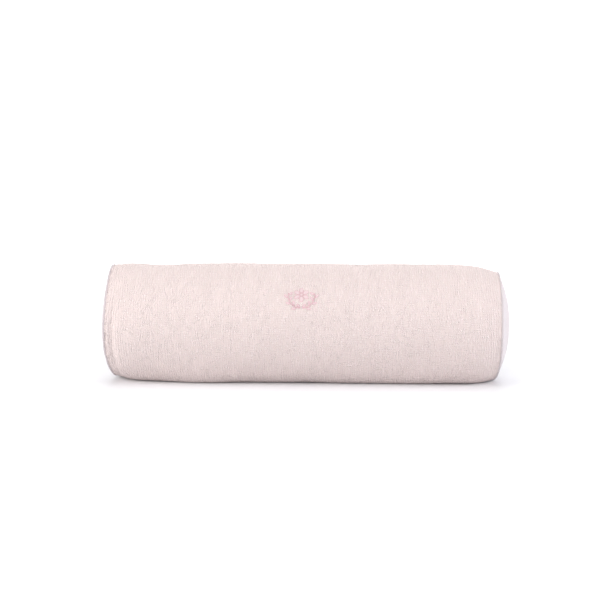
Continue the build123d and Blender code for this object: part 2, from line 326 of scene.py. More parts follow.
@dataclass(frozen=True)
class Lump:
    """A soft swelling, or a hollow, somewhere on the roll."""

    along: float
    around: float  # degrees
    length: float
    spread: float  # degrees
    height: float


@dataclass
class RollShape:
    """The filled roll as it lies, which every layer of cloth and filling shares."""

    half_span: float = 293.0
    radius: float = 90.0
    shoulder: float = 47.0
    axis_height: float = 85.5
    zip_angle: float = math.radians(12)
    zip_rest: tuple[float, float] = (24.0, 56.0)  # lumps start and are full this far from the zip
    bed_depth: float = 3.07  # the flat under the slider, at the inner case
    liner_inset: float = 1.75
    floor_softness: float = 1.0
    pucker_depth: float = 0.34  # of the small gathers beside a seam
    pucker_reach: float = 9.0  # along the roll
    pucker_count: int = 7
    wave_count: int = 16
    wave_length: tuple[float, float] = (70, 260)
    wave_height: tuple[float, float] = (0.08, 0.26)
    fold_at: tuple[float, float] = (188, 40)  # the deepest part of the fold beside a seam, and its spread
    fold_elsewhere: float = 0.22  # share of the depth that is left away from there
    tuck_at: tuple[float, float] = (258, 34)
    bulge_at: tuple[float, float] = (190, 36)
    pull_reach: float = 60.0  # how far along the roll a tuck or a bulge is felt
    dome_wave: float = 0.25
    dome_ripple: float = 0.12
    dome_fullness: float = 2.5
    seed: int = 20
    ends: dict[Side, EndRing] = field(
        default_factory=lambda: {
            Side.LEFT: EndRing(
                radius=84.0, lift=3.0, lift_reach=135.0, curve=2.0, dome=12.5, valley=3.0,
                valley_gap=12.0, valley_width=4.6, bulge=3.4,
            ),
            Side.RIGHT: EndRing(
                radius=80.6, lift=-3.1, lift_reach=90.0, curve=1.8, dome=16.5, valley=0.9, tuck=5.0,
            ),
        }
    )
    lumps: tuple[Lump, ...] = (
        Lump(-232, 92, 52, 40, -3.6),
        Lump(-100, 95, 40, 46, 1.5),
        Lump(150, 92, 46, 44, 0.8),
        Lump(-160, 252, 44, 34, 3.2),
        Lump(-8, 250, 60, 30, -1.6),
        Lump(150, 252, 70, 34, 2.2),
        Lump(-60, 200, 80, 40, 0.9),
        Lump(90, 185, 60, 36, -0.8),
        Lump(215, 178, 34, 34, 0.9),
        Lump(0, 247, 300, 24, 4.6),
        Lump(0, 291, 300, 25, 2.0),
    )

    def __post_init__(self) -> None:
        """Draws the small uneven waves of the filling and of the gathered cloth."""
        draw = random.Random(self.seed)
        length, height = self.wave_length, self.wave_height
        self.waves = [
            (draw.uniform(*length), draw.randint(1, 6), draw.uniform(0, TURN), draw.uniform(*height))
            for _ in range(self.wave_count)
        ]
        self.puckers = [
            (draw.randint(24, 84), draw.uniform(0, TURN), draw.uniform(0.5, 1.0))
            for _ in range(self.pucker_count)
        ]
        self.swell: "Swell | None" = None

    @property
    def half_straight(self) -> float:
        """Half the length over which the roll has its full radius."""
        return self.half_span - self.shoulder

    def freedom(self, along: Array, around: Array) -> Array:
        """How far the roll may be uneven: nothing along the zip, and 1 away from it.

        Args:
            along: places along the roll.
            around: angles round it.

        Returns:
            The shares.
        """
        off_zip = np.abs(turn_between(around, self.zip_angle)) * self.radius
        near, far = self.zip_rest
        held = 1 - smooth((off_zip - near) / (far - near))
        past = smooth((np.abs(along) - self.half_straight) / (self.shoulder - 8))
        return 1 - held * (1 - past)

    def unevenness(self, along: Array, around: Array) -> Array:
        """How far the surface stands out from an even roll, in millimetres.

        Args:
            along: places along the roll.
            around: angles round it.

        Returns:
            The heights.
        """
        height = np.zeros(np.broadcast(along, around).shape)
        for lump in self.lumps:
            off = bell_round(around, lump.around, lump.spread)
            height = height + lump.height * bell((along - lump.along) / lump.length) * off
        for length, count, phase, size in self.waves:
            height = height + size * np.sin(TURN * along / length + count * around + phase)
        if self.swell is not None:
            height = height + self.swell.read(along, around)
        return height

    def gathers(self, along: Array, around: Array, ring: EndRing) -> Array:
        """How far the cloth is drawn in beside one end seam, in millimetres.

        Args:
            along: places along the roll.
            around: angles round it.
            ring: that end of the roll.

        Returns:
            The depths.
        """
        gap = self.half_span - np.abs(along)
        share = self.fold_elsewhere + (1 - self.fold_elsewhere) * bell_round(around, *self.fold_at)
        valley = ring.valley * share * bell((gap - ring.valley_gap) / ring.valley_width)
        ripple = sum(size * np.sin(count * around + phase) for count, phase, size in self.puckers)
        fading = np.exp(-((gap / self.pucker_reach) ** 1.5)) * smooth(gap / 2.5)
        return valley + self.pucker_depth * ripple * fading

    def surface(self, along: Array, around: Array, inset: float = 0.0, bedded: bool = False) -> Array:
        """Points on the long side of the roll.

        Args:
            along: places along the roll.
            around: angles round it.
            inset: how far inside the cover's outer face.
            bedded: whether the filling's flat under the slider is pressed in.

        Returns:
            The points, in millimetres.
        """
        along, around = np.broadcast_arrays(np.asarray(along, float), np.asarray(around, float))
        points = np.zeros((*along.shape, 3))
        free = self.freedom(along, around)
        past = np.abs(along) - self.half_span
        low, front = bell_round(around, *self.tuck_at), bell_round(around, *self.bulge_at)
        for side, ring in self.ends.items():
            here = along * side.value > 0 if side is Side.RIGHT else along * side.value >= 0
            part = np.clip((np.abs(along) - self.half_straight) / (self.shoulder - inset), 0, 1)
            radius = self.radius - (self.radius - ring.radius) * part**ring.curve - inset
            radius = radius + free * self.unevenness(along, around) * (1 - part**3)
            radius = radius - self.gathers(along, around, ring)
            lift = ring.lift * free * smooth((past + ring.lift_reach) / ring.lift_reach)
            height = self.axis_height + lift + radius * np.sin(around) - inset
            resting = inset + self.floor_softness * np.logaddexp(0, height / self.floor_softness)
            drawn = ring.tuck * low - ring.bulge * front
            place = along - side.value * drawn * smooth((past + self.pull_reach) / self.pull_reach)
            found = np.stack([place, radius * np.cos(around), resting], axis=-1)
            points = np.where(here[..., None], found, points)
        return self.bed(points, inset) if bedded else points

    def bed(self, points: Array, inset: float) -> Array:
        """Presses points of the filling down to the flat that the slider runs over.

        Args:
            points: points of the filling.
            inset: how far inside the cover's outer face they are.

        Returns:
            The pressed points.
        """
        outward = np.array([0, math.cos(self.zip_angle), math.sin(self.zip_angle)])
        origin = np.array([0, 0, self.axis_height]) + self.radius * outward
        depth = (points - origin) @ outward + self.bed_depth + inset - self.liner_inset
        return points - np.maximum(depth, 0)[..., None] * outward

    def end(self, side: Side, share: Array, around: Array, inset: float = 0.0, bedded: bool = False) -> Array:
        """Points on a round end.

        Args:
            side: which end.
            share: places from the middle of the end, 0, to its seam, 1.
            around: angles round the roll.
            inset: how far inside the cover's outer face.
            bedded: whether the filling's flat under the slider is pressed in.

        Returns:
            The points, in millimetres.
        """
        share, around = np.broadcast_arrays(np.asarray(share, float), np.asarray(around, float))
        ring = self.ends[side]
        half = self.half_span - inset
        rim = self.surface(np.full(around.shape, side.value * half), around, inset, bedded)
        middle = np.array([side.value * half, 0, self.axis_height + ring.lift])
        points = middle + (rim - middle) * share[..., None]
        few = self.puckers[:3]
        ripple = sum(size * np.sin((count // 2) * around + phase) for count, phase, size in few)
        wave = self.dome_wave * np.sin(3 * around + 1) * share * (1 - share) * 4
        wave = wave + self.dome_ripple * ripple * share**8 * (1 - share) * 8
        out = ring.dome * (1 - share**self.dome_fullness) + wave
        if self.swell is not None:
            out = out + self.swell.read_end(side, share, around)
        points[..., 0] += side.value * out
        return points

    def outward(self, around: Array) -> Array:
        """The direction straight out of the roll at an angle."""
        return np.stack([np.zeros_like(around), np.cos(around), np.sin(around)], axis=-1)


@dataclass
class Swell:
    """How far the stuffed cover has settled away from its cut shape, from a cloth simulation."""

    shape: RollShape
    cell: float = 6.5
    around_count: int = 88
    end_rows: int = 12
    start_inset: float = 1.6  # the cloth starts this much smaller, and swells back
    pressure: float = 4.0
    frames: int = 20
    cap: float = 3.0
    held_near_seam: float = 3.0
    slack_reach: tuple[float, float] = (30.0, 8.0)  # from a seam, and from the floor, to where it is free

    def __post_init__(self) -> None:
        """Lays out the cloth's rows, from one pole to the other."""
        count = round(2 * self.shape.half_span / self.cell)
        self.columns = np.linspace(-self.shape.half_span, self.shape.half_span, count + 1)
        self.angles = angles_round(self.around_count)
        self.shares = np.linspace(0, 1, self.end_rows + 1)
        self.side_field = np.zeros((len(self.columns), self.around_count))
        self.end_field = {side: np.zeros((len(self.shares), self.around_count)) for side in Side}

    def run(self) -> None:
        """Blows the cover up from a slightly smaller shape, and keeps how far each point moved."""
        around = self.angles[None, :]
        side_goal = self.shape.surface(self.columns[:, None], around)
        ends = {side: self.shape.end(side, self.shares[:, None], around) for side in Side}
        free = self.shape.freedom(self.columns[:, None], around)
        radial = self.shape.outward(around)
        gap = self.shape.half_span - np.abs(self.columns[:, None])
        from_seam, from_floor = self.slack_reach
        slack = free * smooth((gap - self.held_near_seam) / from_seam)
        slack = slack * smooth((side_goal[..., 2] - 1.0) / from_floor)
        side_start = side_goal - self.start_inset * slack[..., None] * radial
        rows = np.concatenate([ends[Side.LEFT][:-1], side_start, ends[Side.RIGHT][-2::-1]])
        loose = np.zeros((self.end_rows, self.around_count))
        held = np.concatenate([loose, 1 - np.minimum(1, slack * 4), loose])
        held[self.end_rows - 1 : self.end_rows + 1] = held[-self.end_rows - 1 : -self.end_rows + 1] = 1
        moved = self.simulate(rows, held)
        first, last = self.end_rows, self.end_rows + len(self.columns)
        shift = np.sum((moved[first:last] - side_goal) * radial, axis=-1)
        self.side_field = self.limited(shift - shift[slack > 0.5].mean() * slack) * slack
        for side, part in ((Side.LEFT, moved[:first]), (Side.RIGHT, moved[last:][::-1])):
            out = (part[..., 0] - ends[side][:-1, :, 0]) * side.value
            out = self.limited(out - out.mean())
            self.end_field[side][:-1] = out * smooth((1 - self.shares[:-1, None]) * 4)
        log.info("cover settled by up to %.1f mm", np.abs(self.side_field).max())

    def limited(self, shift: Array) -> Array:
        """Caps how far points may have moved."""
        return np.clip(shift, -self.cap, self.cap)

    def simulate(self, rows: Array, held: Array) -> Array:
        """Runs the cloth under pressure, with the held points kept where they are.

        Args:
            rows: rings of points, from pole to pole.
            held: how firmly each point is held, 0 to 1.

        Returns:
            The rings after the last frame.
        """
        shape = rows.shape
        body = rows.reshape(-1, 3)
        quads = grid_faces(shape[0], shape[1], wrap=True)
        cloth_object = make_object("cover_in_the_make", body, quads)
        group = cloth_object.vertex_groups.new(name="held")
        for number, weight in enumerate(held.ravel()):
            group.add([number], float(weight), "REPLACE")
        cloth = cloth_object.modifiers.new("stuffed", "CLOTH")
        wear = cloth.settings
        wear.quality = 5
        wear.mass = 0.3
        wear.tension_stiffness = wear.compression_stiffness = 15
        wear.shear_stiffness = 5
        wear.bending_stiffness = 0.4
        wear.use_pressure = True
        wear.uniform_pressure_force = self.pressure
        wear.vertex_group_mass = group.name
        wear.effector_weights.gravity = 0
        cloth.point_cache.frame_start = 1
        cloth.point_cache.frame_end = self.frames
        for number in range(1, self.frames + 1):
            bpy.context.scene.frame_set(number)
        settled = cloth_object.evaluated_get(bpy.context.evaluated_depsgraph_get()).to_mesh()
        found = np.zeros(len(settled.vertices) * 3)
        settled.vertices.foreach_get("co", found)
        bpy.data.objects.remove(cloth_object, do_unlink=True)
        bpy.context.scene.frame_set(1)
        return found.reshape(shape) / MM

    def lookup(self, values: Array, row: Array, around: Array) -> Array:
        """Reads a grid between its points, closed round the roll.

        Args:
            values: the grid.
            row: places between its rows.
            around: angles round the roll.

        Returns:
            The values there.
        """
        row = np.clip(row, 0, len(values) - 1.001)
        turn = (np.asarray(around) % TURN) / TURN * self.around_count
        i, j = row.astype(int), turn.astype(int) % self.around_count
        a, b, after = row - i, turn - np.floor(turn), (j + 1) % self.around_count
        low = values[i, j] * (1 - b) + values[i, after] * b
        high = values[i + 1, j] * (1 - b) + values[i + 1, after] * b
        return low * (1 - a) + high * a

    def read(self, along: Array, around: Array) -> Array:
        """How far the long side stands out at a place.

        Args:
            along: places along the roll.
            around: angles round it.

        Returns:
            The heights, in millimetres.
        """
        along, around = np.broadcast_arrays(along, around)
        step = self.columns[1] - self.columns[0]
        return self.lookup(self.side_field, (along - self.columns[0]) / step, around)

    def read_end(self, side: Side, share: Array, around: Array) -> Array:
        """How far a round end stands out at a place."""
        return self.lookup(self.end_field[side], share * self.end_rows, around)


# ---------------- finishes


@dataclass(frozen=True)
class Pattern:
    """What a finish draws for its shader."""

    share: Feed  # of the finish's own colour over its shade
    height: Feed  # of its relief, from 0 to 1
    settings: dict[str, object] = field(default_factory=dict)  # the shader's other inputs


def empty_material(name: str) -> tuple[Material, Tree]:
    """Makes a material that has no nodes yet.

    Args:
        name: the material's name.

    Returns:
        The material and its tree.
    """
    material = bpy.data.materials.new(name)
    material.use_nodes = True
    material.node_tree.nodes.clear()
    return material, material.node_tree


def ribs(tree: Tree, place: Feed, pitch: float) -> Node:
    """Draws even rounded ribs.

    Args:
        tree: the material's tree.
        place: the coordinate that runs across the ribs.
        pitch: from one rib to the next.

    Returns:
        A node that gives their height, from 0 to 1.
    """
    angle = add_node(tree, MATH, (place, TURN / (pitch * MM)), operation="MULTIPLY")
    wave = add_node(tree, MATH, (angle,), operation="SINE")
    return add_node(tree, MATH, (wave, 0.5, 0.5), operation="MULTIPLY_ADD")


@dataclass(frozen=True)
class Finish:
    """A material in the making: two tones mixed by one pattern, and a relief raised by another."""

    name: str
    colour: str
    # shade: the darker tone; where a finish's tone follows its relief it is painted shade in the low parts,
    # in mottled finishes it is tone that differs at random
    shade: str = "#CCCCCC"
    depth: float = 0.1  # of the relief
    roughness: float = 0.5

    def pattern(self, tree: Tree) -> Pattern:
        """Draws the patterns; each kind of finish has its own."""
        raise NotImplementedError

    def tones(self, tree: Tree, share: Feed) -> Node:
        """Mixes the finish's colour over its shade.

        Args:
            tree: the material's tree.
            share: how much of the colour shows.

        Returns:
            The mixing node.
        """
        inputs = {"Factor": share, "A": linear_colour(self.shade), "B": linear_colour(self.colour)}
        return add_node(tree, "ShaderNodeMix", inputs, data_type="RGBA")

    def material(self) -> Material:
        """Builds the material.

        Returns:
            The material, ready for a piece.
        """
        material, tree = empty_material(self.name)
        drawn = self.pattern(tree)
        relief = {"Height": drawn.height, "Distance": self.depth * MM, "Strength": 1.0}
        inputs = {
            "Base Color": self.tones(tree, drawn.share),
            "Normal": add_node(tree, "ShaderNodeBump", relief),
            "Roughness": self.roughness,
            **drawn.settings,
        }
        shader = add_node(tree, "ShaderNodeBsdfPrincipled", inputs)
        shader.inputs["Base Color"].default_value = linear_colour(self.colour)
        add_node(tree, "ShaderNodeOutputMaterial", {"Surface": shader})
        return material


@dataclass(frozen=True)
class WaffleCotton(Finish):
    """Crinkled crepe cotton: matt, with short soft ridges both ways in uneven rows, and a faint bloom."""

    # painted shade: the hollows of the crinkled relief take this darker tone
    shade: str = "#DAC6C2"  # in the hollows
    depth: float = 1.4
    roughness: float = 0.82
    sheen: float = 0.2
    sheen_tint: str = "#FFF3F2"
    pitch: float = 3.5  # between ridges
    wander: float = 1.7  # how far the rows stray
    wander_size: float = 13.0  # of the patches over which they stray
    dash: tuple[float, float] = (5.0, 9.0)  # length of a ridge across and along the roll's girth
    fade: tuple[float, float] = (0.25, 0.55)  # noise at which a ridge starts, and at which it is full
    breaks: tuple[float, float] = (0.8, 0.25)  # what level ridges add to the upright ones, and what is left
    yarn: float = 1.2  # between yarns, drawn coarser than the 0.4 mm of the real ones
    yarn_height: float = 0.14
    # painted shade: this sets how the colour grows with the height, so that the hollows darken
    tone: tuple[float, float] = (0.95, 0.4)  # how the colour grows with the height, and what it starts from

    def bent_place(self, tree: Tree, place: Feed) -> Outputs:
        """Strays the place on the cloth a little, so that no row runs straight.

        Args:
            tree: the material's tree.
            place: the place on the cloth.

        Returns:
            The strayed place's coordinates.
        """
        inputs = {"Vector": place, "Scale": 1 / (self.wander_size * MM), "Detail": 2.0}
        drift = add_node(tree, NOISE, inputs).outputs["Color"]
        centred = add_node(tree, VECTOR_MATH, (drift, (0.5, 0.5, 0.5)), operation="SUBTRACT")
        reach = (4 * self.wander * MM,) * 3  # the noise mostly strays a quarter from its middle
        bent = add_node(tree, VECTOR_MATH, (centred, reach, place), operation="MULTIPLY_ADD")
        return add_node(tree, "ShaderNodeSeparateXYZ", (bent,)).outputs

    def ridges(self, tree: Tree, place: Feed, across: Feed, cell: tuple[float, float]) -> Node:
        """Draws rows of ridges that fade in and out along their length.

        Args:
            tree: the material's tree.
            place: the place on the cloth.
            across: the coordinate that runs across the ridges.
            cell: how large the patches are where ridges stand or fade, along the cloth's two ways.

        Returns:
            A node that gives their height, from 0 to 1.
        """
        inputs = {"Vector": place, "Scale": (1 / (cell[0] * MM), 1 / (cell[1] * MM), 1.0)}
        patch = add_node(tree, "ShaderNodeMapping", inputs)
        noise = add_node(tree, NOISE, {"Vector": patch, "Scale": 1.0, "Detail": 1.0})
        inputs = {"Value": noise, "From Min": self.fade[0], "From Max": self.fade[1]}
        there = add_node(tree, "ShaderNodeMapRange", inputs)
        return add_node(tree, MATH, (ribs(tree, across, self.pitch), there), operation="MULTIPLY")

    def pattern(self, tree: Tree) -> Pattern:
        """Draws upright ridges that level ones break up, with yarns between them, and paints shade into the
        hollows.

        Args:
            tree: the material's tree.

        Returns:
            The patterns.
        """
        place = add_node(tree, "ShaderNodeUVMap", uv_map=CLOTH_UV)
        bent = self.bent_place(tree, place)
        short, long = self.dash
        upright = self.ridges(tree, place, bent["X"], (self.pitch, long))
        level = self.ridges(tree, place, bent["Y"], (short, self.pitch))
        broken = add_node(tree, MATH, (level, *self.breaks), operation="MULTIPLY_ADD")
        both = add_node(tree, MATH, (upright, broken), operation="MULTIPLY")
        steps = (ribs(tree, bent["X"], self.yarn), self.yarn_height, both)
        height = add_node(tree, MATH, steps, operation="MULTIPLY_ADD")
        # painted shade: the colour is mixed over the shade by the squared height, darkest in the hollows
        squared = add_node(tree, MATH, (height, height), operation="MULTIPLY")
        share = add_node(tree, MATH, (squared, *self.tone), operation="MULTIPLY_ADD")
        settings = {
            "Sheen Weight": self.sheen,
            "Sheen Roughness": 0.45,
            "Sheen Tint": linear_colour(self.sheen_tint),
            "Specular IOR Level": 0.28,
        }
        return Pattern(share, height, settings)


@dataclass(frozen=True)
class PlainWeave(Finish):
    """Plain-woven cloth: an even over-and-under of two sets of yarns, matt and slightly hairy."""

    # painted shade: the low parts of the weave, between the yarns, take this darker tone
    shade: str = "#C9BEBE"
    depth: float = 0.16
    roughness: float = 0.8
    yarn: float = 0.9  # between yarns, coarser than the real 0.4 mm so that it shows
    patch: float = 6.0  # of uneven tone

    def pattern(self, tree: Tree) -> Pattern:
        """Draws warp over weft, with painted shade between the yarns, and lighter in some patches.

        Args:
            tree: the material's tree.

        Returns:
            The patterns.
        """
        place = add_node(tree, "ShaderNodeUVMap", uv_map=CLOTH_UV)
        axes = add_node(tree, "ShaderNodeSeparateXYZ", (place,)).outputs
        yarns = [ribs(tree, axes[way], self.yarn) for way in ("X", "Y")]
        weave = add_node(tree, MATH, yarns, operation="MAXIMUM")
        inputs = {"Vector": place, "Scale": 1 / (self.patch * MM), "Detail": 4.0}
        uneven = add_node(tree, NOISE, inputs)
        lighter = add_node(tree, MATH, (uneven, 0.5), operation="ADD")
        # partly painted shade, darker between the yarns where the weave is low, and partly tone that differs
        # at random in patches
        share = add_node(tree, MATH, (weave, lighter), operation="MULTIPLY")
        return Pattern(share, weave, {"Sheen Weight": 0.2})


@dataclass(frozen=True)
class TwillTape(Finish):
    """Woven polyester zip tape: a fine diagonal rib, with a soft gloss where the yarns catch light."""

    # painted shade: the grooves between the ribs take this darker tone
    shade: str = "#D2BCBD"
    depth: float = 0.12
    roughness: float = 0.6
    rib: float = 1.0
    pick_height: float = 0.3  # of the weft yarns between the ribs
    tone: float = 0.75
    lean: float = math.radians(12)  # of the tape's face above upright

    def pattern(self, tree: Tree) -> Pattern:
        """Draws slanting ribs over fine picks, with painted shade between them.

        Args:
            tree: the material's tree.

        Returns:
            The patterns.
        """
        place = add_node(tree, "ShaderNodeTexCoord").outputs["Object"]
        face = add_node(tree, "ShaderNodeMapping", {"Vector": place, "Rotation": (-self.lean, 0.0, 0.0)})
        axes = add_node(tree, "ShaderNodeSeparateXYZ", (face,)).outputs
        slant = add_node(tree, MATH, (axes["X"], axes["Z"]), operation="ADD")
        steps = (ribs(tree, axes["X"], self.rib / 2), self.pick_height, ribs(tree, slant, self.rib))
        height = add_node(tree, MATH, steps, operation="MULTIPLY_ADD")
        # painted shade: the tape darkens towards its shade between the ribs
        share = add_node(tree, MATH, (height, self.tone), operation="MULTIPLY")
        return Pattern(share, height, {"Sheen Weight": 0.15})


@dataclass(frozen=True)
class Thread(Finish):
    """Twisted thread: a soft gloss along each strand, and small changes of tone from strand to strand."""

    shade: str = "#D9A5B0"
    depth: float = 0.05
    roughness: float = 0.42
    twist: float = 0.7
    lean: float = 1.4  # how steeply the twist climbs
    patch: float = 1.6

    def pattern(self, tree: Tree) -> Pattern:
        """Draws slanting strands over patches of tone, with painted shade between the strands.

        Args:
            tree: the material's tree.

        Returns:
            The patterns.
        """
        place = add_node(tree, "ShaderNodeTexCoord").outputs["Object"]
        axes = add_node(tree, "ShaderNodeSeparateXYZ", (place,)).outputs
        slant = add_node(tree, MATH, (axes["Z"], self.lean, axes["X"]), operation="MULTIPLY_ADD")
        strands = ribs(tree, slant, self.twist)
        inputs = {"Vector": place, "Scale": 1 / (self.patch * MM), "Detail": 2.0}
        patches = add_node(tree, NOISE, inputs)
        # partly painted shade, darker between the strands, and partly tone that differs at random in patches
        share = add_node(tree, MATH, (strands, 0.25, patches), operation="MULTIPLY_ADD")
        return Pattern(share, strands, {"Sheen Weight": 0.3})


@dataclass(frozen=True)
class Mottled(Finish):
    """A smooth finish: patches of tone and a fine ripple, both from noise."""

    patch: float = 2.5
    patch_detail: float = 3.0
    ripple: float = 0.4
    ripple_detail: float = 2.0

    def settings(self, tree: Tree, place: Feed) -> dict[str, object]:
        """The shader's other inputs; each kind of finish has its own."""
        return {}

    def pattern(self, tree: Tree) -> Pattern:
        """Draws the patches and the ripple.

        Args:
            tree: the material's tree.

        Returns:
            The patterns.
        """
        place = add_node(tree, "ShaderNodeTexCoord").outputs["Object"]
        sizes = ((self.patch, self.patch_detail), (self.ripple, self.ripple_detail))
        given = [{"Vector": place, "Scale": 1 / (size * MM), "Detail": detail} for size, detail in sizes]
        share, height = (add_node(tree, NOISE, inputs) for inputs in given)
        return Pattern(share, height, self.settings(tree, place))


@dataclass(frozen=True)
class Moulded(Mottled):
    """Drawn or moulded plastic: smooth, faintly mottled and slightly soft under the light."""

    shade: str = "#DDC9CA"
    depth: float = 0.02
    roughness: float = 0.36

    def settings(self, tree: Tree, place: Feed) -> dict[str, object]:
        """Nylon's index, and light that passes a little way into it."""
        return {"IOR": 1.53, "Subsurface Weight": 0.15, "Subsurface Radius": (0.0006, 0.0004, 0.0004)}


@dataclass(frozen=True)
class StoveEnamel(Mottled):
    """Stove enamel over die-cast zinc: a thick gloss coat with a faint ripple and fine handling marks."""

    shade: str = "#D3ABAE"
    depth: float = 0.03
    patch: float = 4.0
    ripple: float = 1.2
    ripple_detail: float = 1.0
    mark: float = 0.7
    wear: tuple[float, float] = (0.3, 0.14)  # roughness that the marks add, and that it starts from

    def settings(self, tree: Tree, place: Feed) -> dict[str, object]:
        """Handles the enamel until it is rougher in spots, and coats it.

        Args:
            tree: the material's tree.
            place: the place in the frame.

        Returns:
            The shader's other inputs.
        """
        inputs = {"Vector": place, "Scale": 1 / (self.mark * MM), "Detail": 5.0}
        marks = add_node(tree, NOISE, inputs)
        rough = add_node(tree, MATH, (marks, *self.wear), operation="MULTIPLY_ADD")
        return {"Roughness": rough, "Coat Weight": 0.7, "Coat Roughness": 0.08}


@dataclass(frozen=True)
class BrushedAluminium(Finish):
    """Pressed aluminium wire: bright, finely scratched along its length."""

    shade: str = "#A9A9AC"
    depth: float = 0.015
    scratch: float = 0.25  # across; along the wire it is several times as long
    stretch: float = 0.15
    wear: tuple[float, float] = (0.25, 0.22)  # roughness that a scratch adds, and that it starts from

    def pattern(self, tree: Tree) -> Pattern:
        """Draws scratches that also roughen the metal.

        Args:
            tree: the material's tree.

        Returns:
            The patterns.
        """
        place = add_node(tree, "ShaderNodeTexCoord").outputs["Object"]
        long = add_node(tree, "ShaderNodeMapping", {"Vector": place, "Scale": (self.stretch, 1.0, 1.0)})
        inputs = {"Vector": long, "Scale": 1 / (self.scratch * MM), "Detail": 4.0}
        scratches = add_node(tree, NOISE, inputs)
        rough = add_node(tree, MATH, (scratches, *self.wear), operation="MULTIPLY_ADD")
        return Pattern(scratches, scratches, {"Roughness": rough, "Metallic": 1.0})


@dataclass(frozen=True)
class Fluff(Finish):
    """Fibre filling, felt or open-cell foam: matt, broken into soft tufts or cells."""

    # painted shade: the hollows of the tufts and cells take this darker tone
    shade: str = "#D8D4CE"
    depth: float = 0.6
    roughness: float = 0.95
    tuft: float = 3.0
    cells: bool = False

    def pattern(self, tree: Tree) -> Pattern:
        """Draws the cells or the tufts, with painted shade in their hollows.

        Args:
            tree: the material's tree.

        Returns:
            The patterns.
        """
        place = add_node(tree, "ShaderNodeTexCoord").outputs["Object"]
        inputs = {"Vector": place, "Scale": 1 / (self.tuft * MM)}
        if self.cells:
            broken = add_node(tree, "ShaderNodeTexVoronoi", inputs)
        else:
            broken = add_node(tree, NOISE, {**inputs, "Detail": 6.0})
        # painted shade: the tone follows the relief, darker in the hollows
        return Pattern(broken, broken)


@dataclass(frozen=True)
class WovenSatin(Finish):
    """Satin label tape: long smooth floats with a silky gloss, and a woven line near each edge."""

    shade: str = "#E2D3D2"
    depth: float = 0.05
    roughness: float = 0.38
    line: str = "#DDB2BA"
    width: float = 30.0
    line_inset: float = 2.2
    line_width: float = 0.7
    float_pitch: float = 0.6
    patch: float = 3.0

    def tones(self, tree: Tree, share: Feed) -> Node:
        """Mixes the ground's tones, and the two lines over them.

        Args:
            tree: the material's tree.
            share: how much of the ground's own colour shows.

        Returns:
            The mixing node.
        """
        place = add_node(tree, "ShaderNodeUVMap", uv_map=CLOTH_UV)
        across = add_node(tree, "ShaderNodeSeparateXYZ", (place,)).outputs["X"]
        middle = add_node(tree, MATH, (across, self.width / 2 * MM), operation="SUBTRACT")
        off = add_node(tree, MATH, (middle,), operation="ABSOLUTE")
        sizes = ((self.width / 2 - self.line_inset) * MM, self.line_width / 2 * MM)
        on_line = add_node(tree, MATH, (off, *sizes), operation="COMPARE")
        inputs = {"Factor": on_line, "A": super().tones(tree, share), "B": linear_colour(self.line)}
        return add_node(tree, "ShaderNodeMix", inputs, data_type="RGBA")

    def pattern(self, tree: Tree) -> Pattern:
        """Draws the floats over patches of tone, with painted shade between the floats.

        Args:
            tree: the material's tree.

        Returns:
            The patterns.
        """
        place = add_node(tree, "ShaderNodeUVMap", uv_map=CLOTH_UV)
        down = add_node(tree, "ShaderNodeSeparateXYZ", (place,)).outputs["Y"]
        floats = ribs(tree, down, self.float_pitch)
        inputs = {"Vector": place, "Scale": 1 / (self.patch * MM), "Detail": 3.0}
        uneven = add_node(tree, NOISE, inputs)
        # partly painted shade, darker between the floats, and partly tone that differs at random in patches
        share = add_node(tree, MATH, (floats, 0.4, uneven), operation="MULTIPLY_ADD")
        return Pattern(share, floats, {"Sheen Weight": 0.2})


# ---------------- repeated shapes


@dataclass(frozen=True)
class Stitching:
    """A thread and how it lies on the cloth."""

    diameter: float
    rise: float
    height: float = 0.0  # of the thread's ends above the cloth
    jitter: float = 0.03
    seed: int = 1


class GrowingTree:
    """A Geometry Nodes tree with named inputs, whose result is one plain mesh in one material."""

    label = "grow"
    inputs: dict[str, str] = {}  # the kind of socket for each named input

    def __init__(self) -> None:
        """Builds the tree round what the subclass grows."""
        tree = self.tree = bpy.data.node_groups.new(self.label, "GeometryNodeTree")
        tree.interface.new_socket("Geometry", in_out="OUTPUT", socket_type="NodeSocketGeometry")
        kinds = {"Geometry": "Geometry", **self.inputs, "Material": "Material"}
        self.sockets = {
            name: tree.interface.new_socket(name, in_out="INPUT", socket_type=f"NodeSocket{kind}").identifier
            for name, kind in kinds.items()
        }
        given = add_node(tree, "NodeGroupInput").outputs
        real = add_node(tree, "GeometryNodeRealizeInstances", (self.grow(given),))
        even = add_node(tree, "GeometryNodeSetShadeSmooth", (real,))
        dressed = add_node(tree, "GeometryNodeSetMaterial", {0: even, "Material": given["Material"]})
        add_node(tree, "NodeGroupOutput", (dressed,))

    def grow(self, given: Outputs) -> Node:
        """Adds the nodes that make the shape; each kind of tree has its own."""
        raise NotImplementedError

    def tube(self, curve: Feed, diameter: Feed) -> Node:
        """Turns a curve into a round thread or wire.

        Args:
            curve: its middle line.
            diameter: its thickness.

        Returns:
            The node that gives the mesh.
        """
        half = add_node(self.tree, MATH, (diameter, 0.5), operation="MULTIPLY")
        profile = add_node(self.tree, "GeometryNodeCurvePrimitiveCircle", {"Resolution": 6, "Radius": half})
        inputs = {"Curve": curve, "Profile Curve": profile, "Fill Caps": True}
        return add_node(self.tree, "GeometryNodeCurveToMesh", inputs)

    def run(self, holder: Object, values: dict[str, object]) -> Object:
        """Runs the tree on an object and keeps the result as its plain mesh.

        Args:
            holder: the object that the tree works on.
            values: the value of each named input.

        Returns:
            The object, with a plain mesh and no modifier.
        """
        modifier = holder.modifiers.new("make", "NODES")
        modifier.node_group = self.tree
        for name, value in values.items():
            modifier[self.sockets[name]] = value
        made = bpy.data.meshes.new_from_object(holder.evaluated_get(bpy.context.evaluated_depsgraph_get()))
        holder.modifiers.remove(modifier)
        made.name = holder.name
        holder.data = made
        return holder


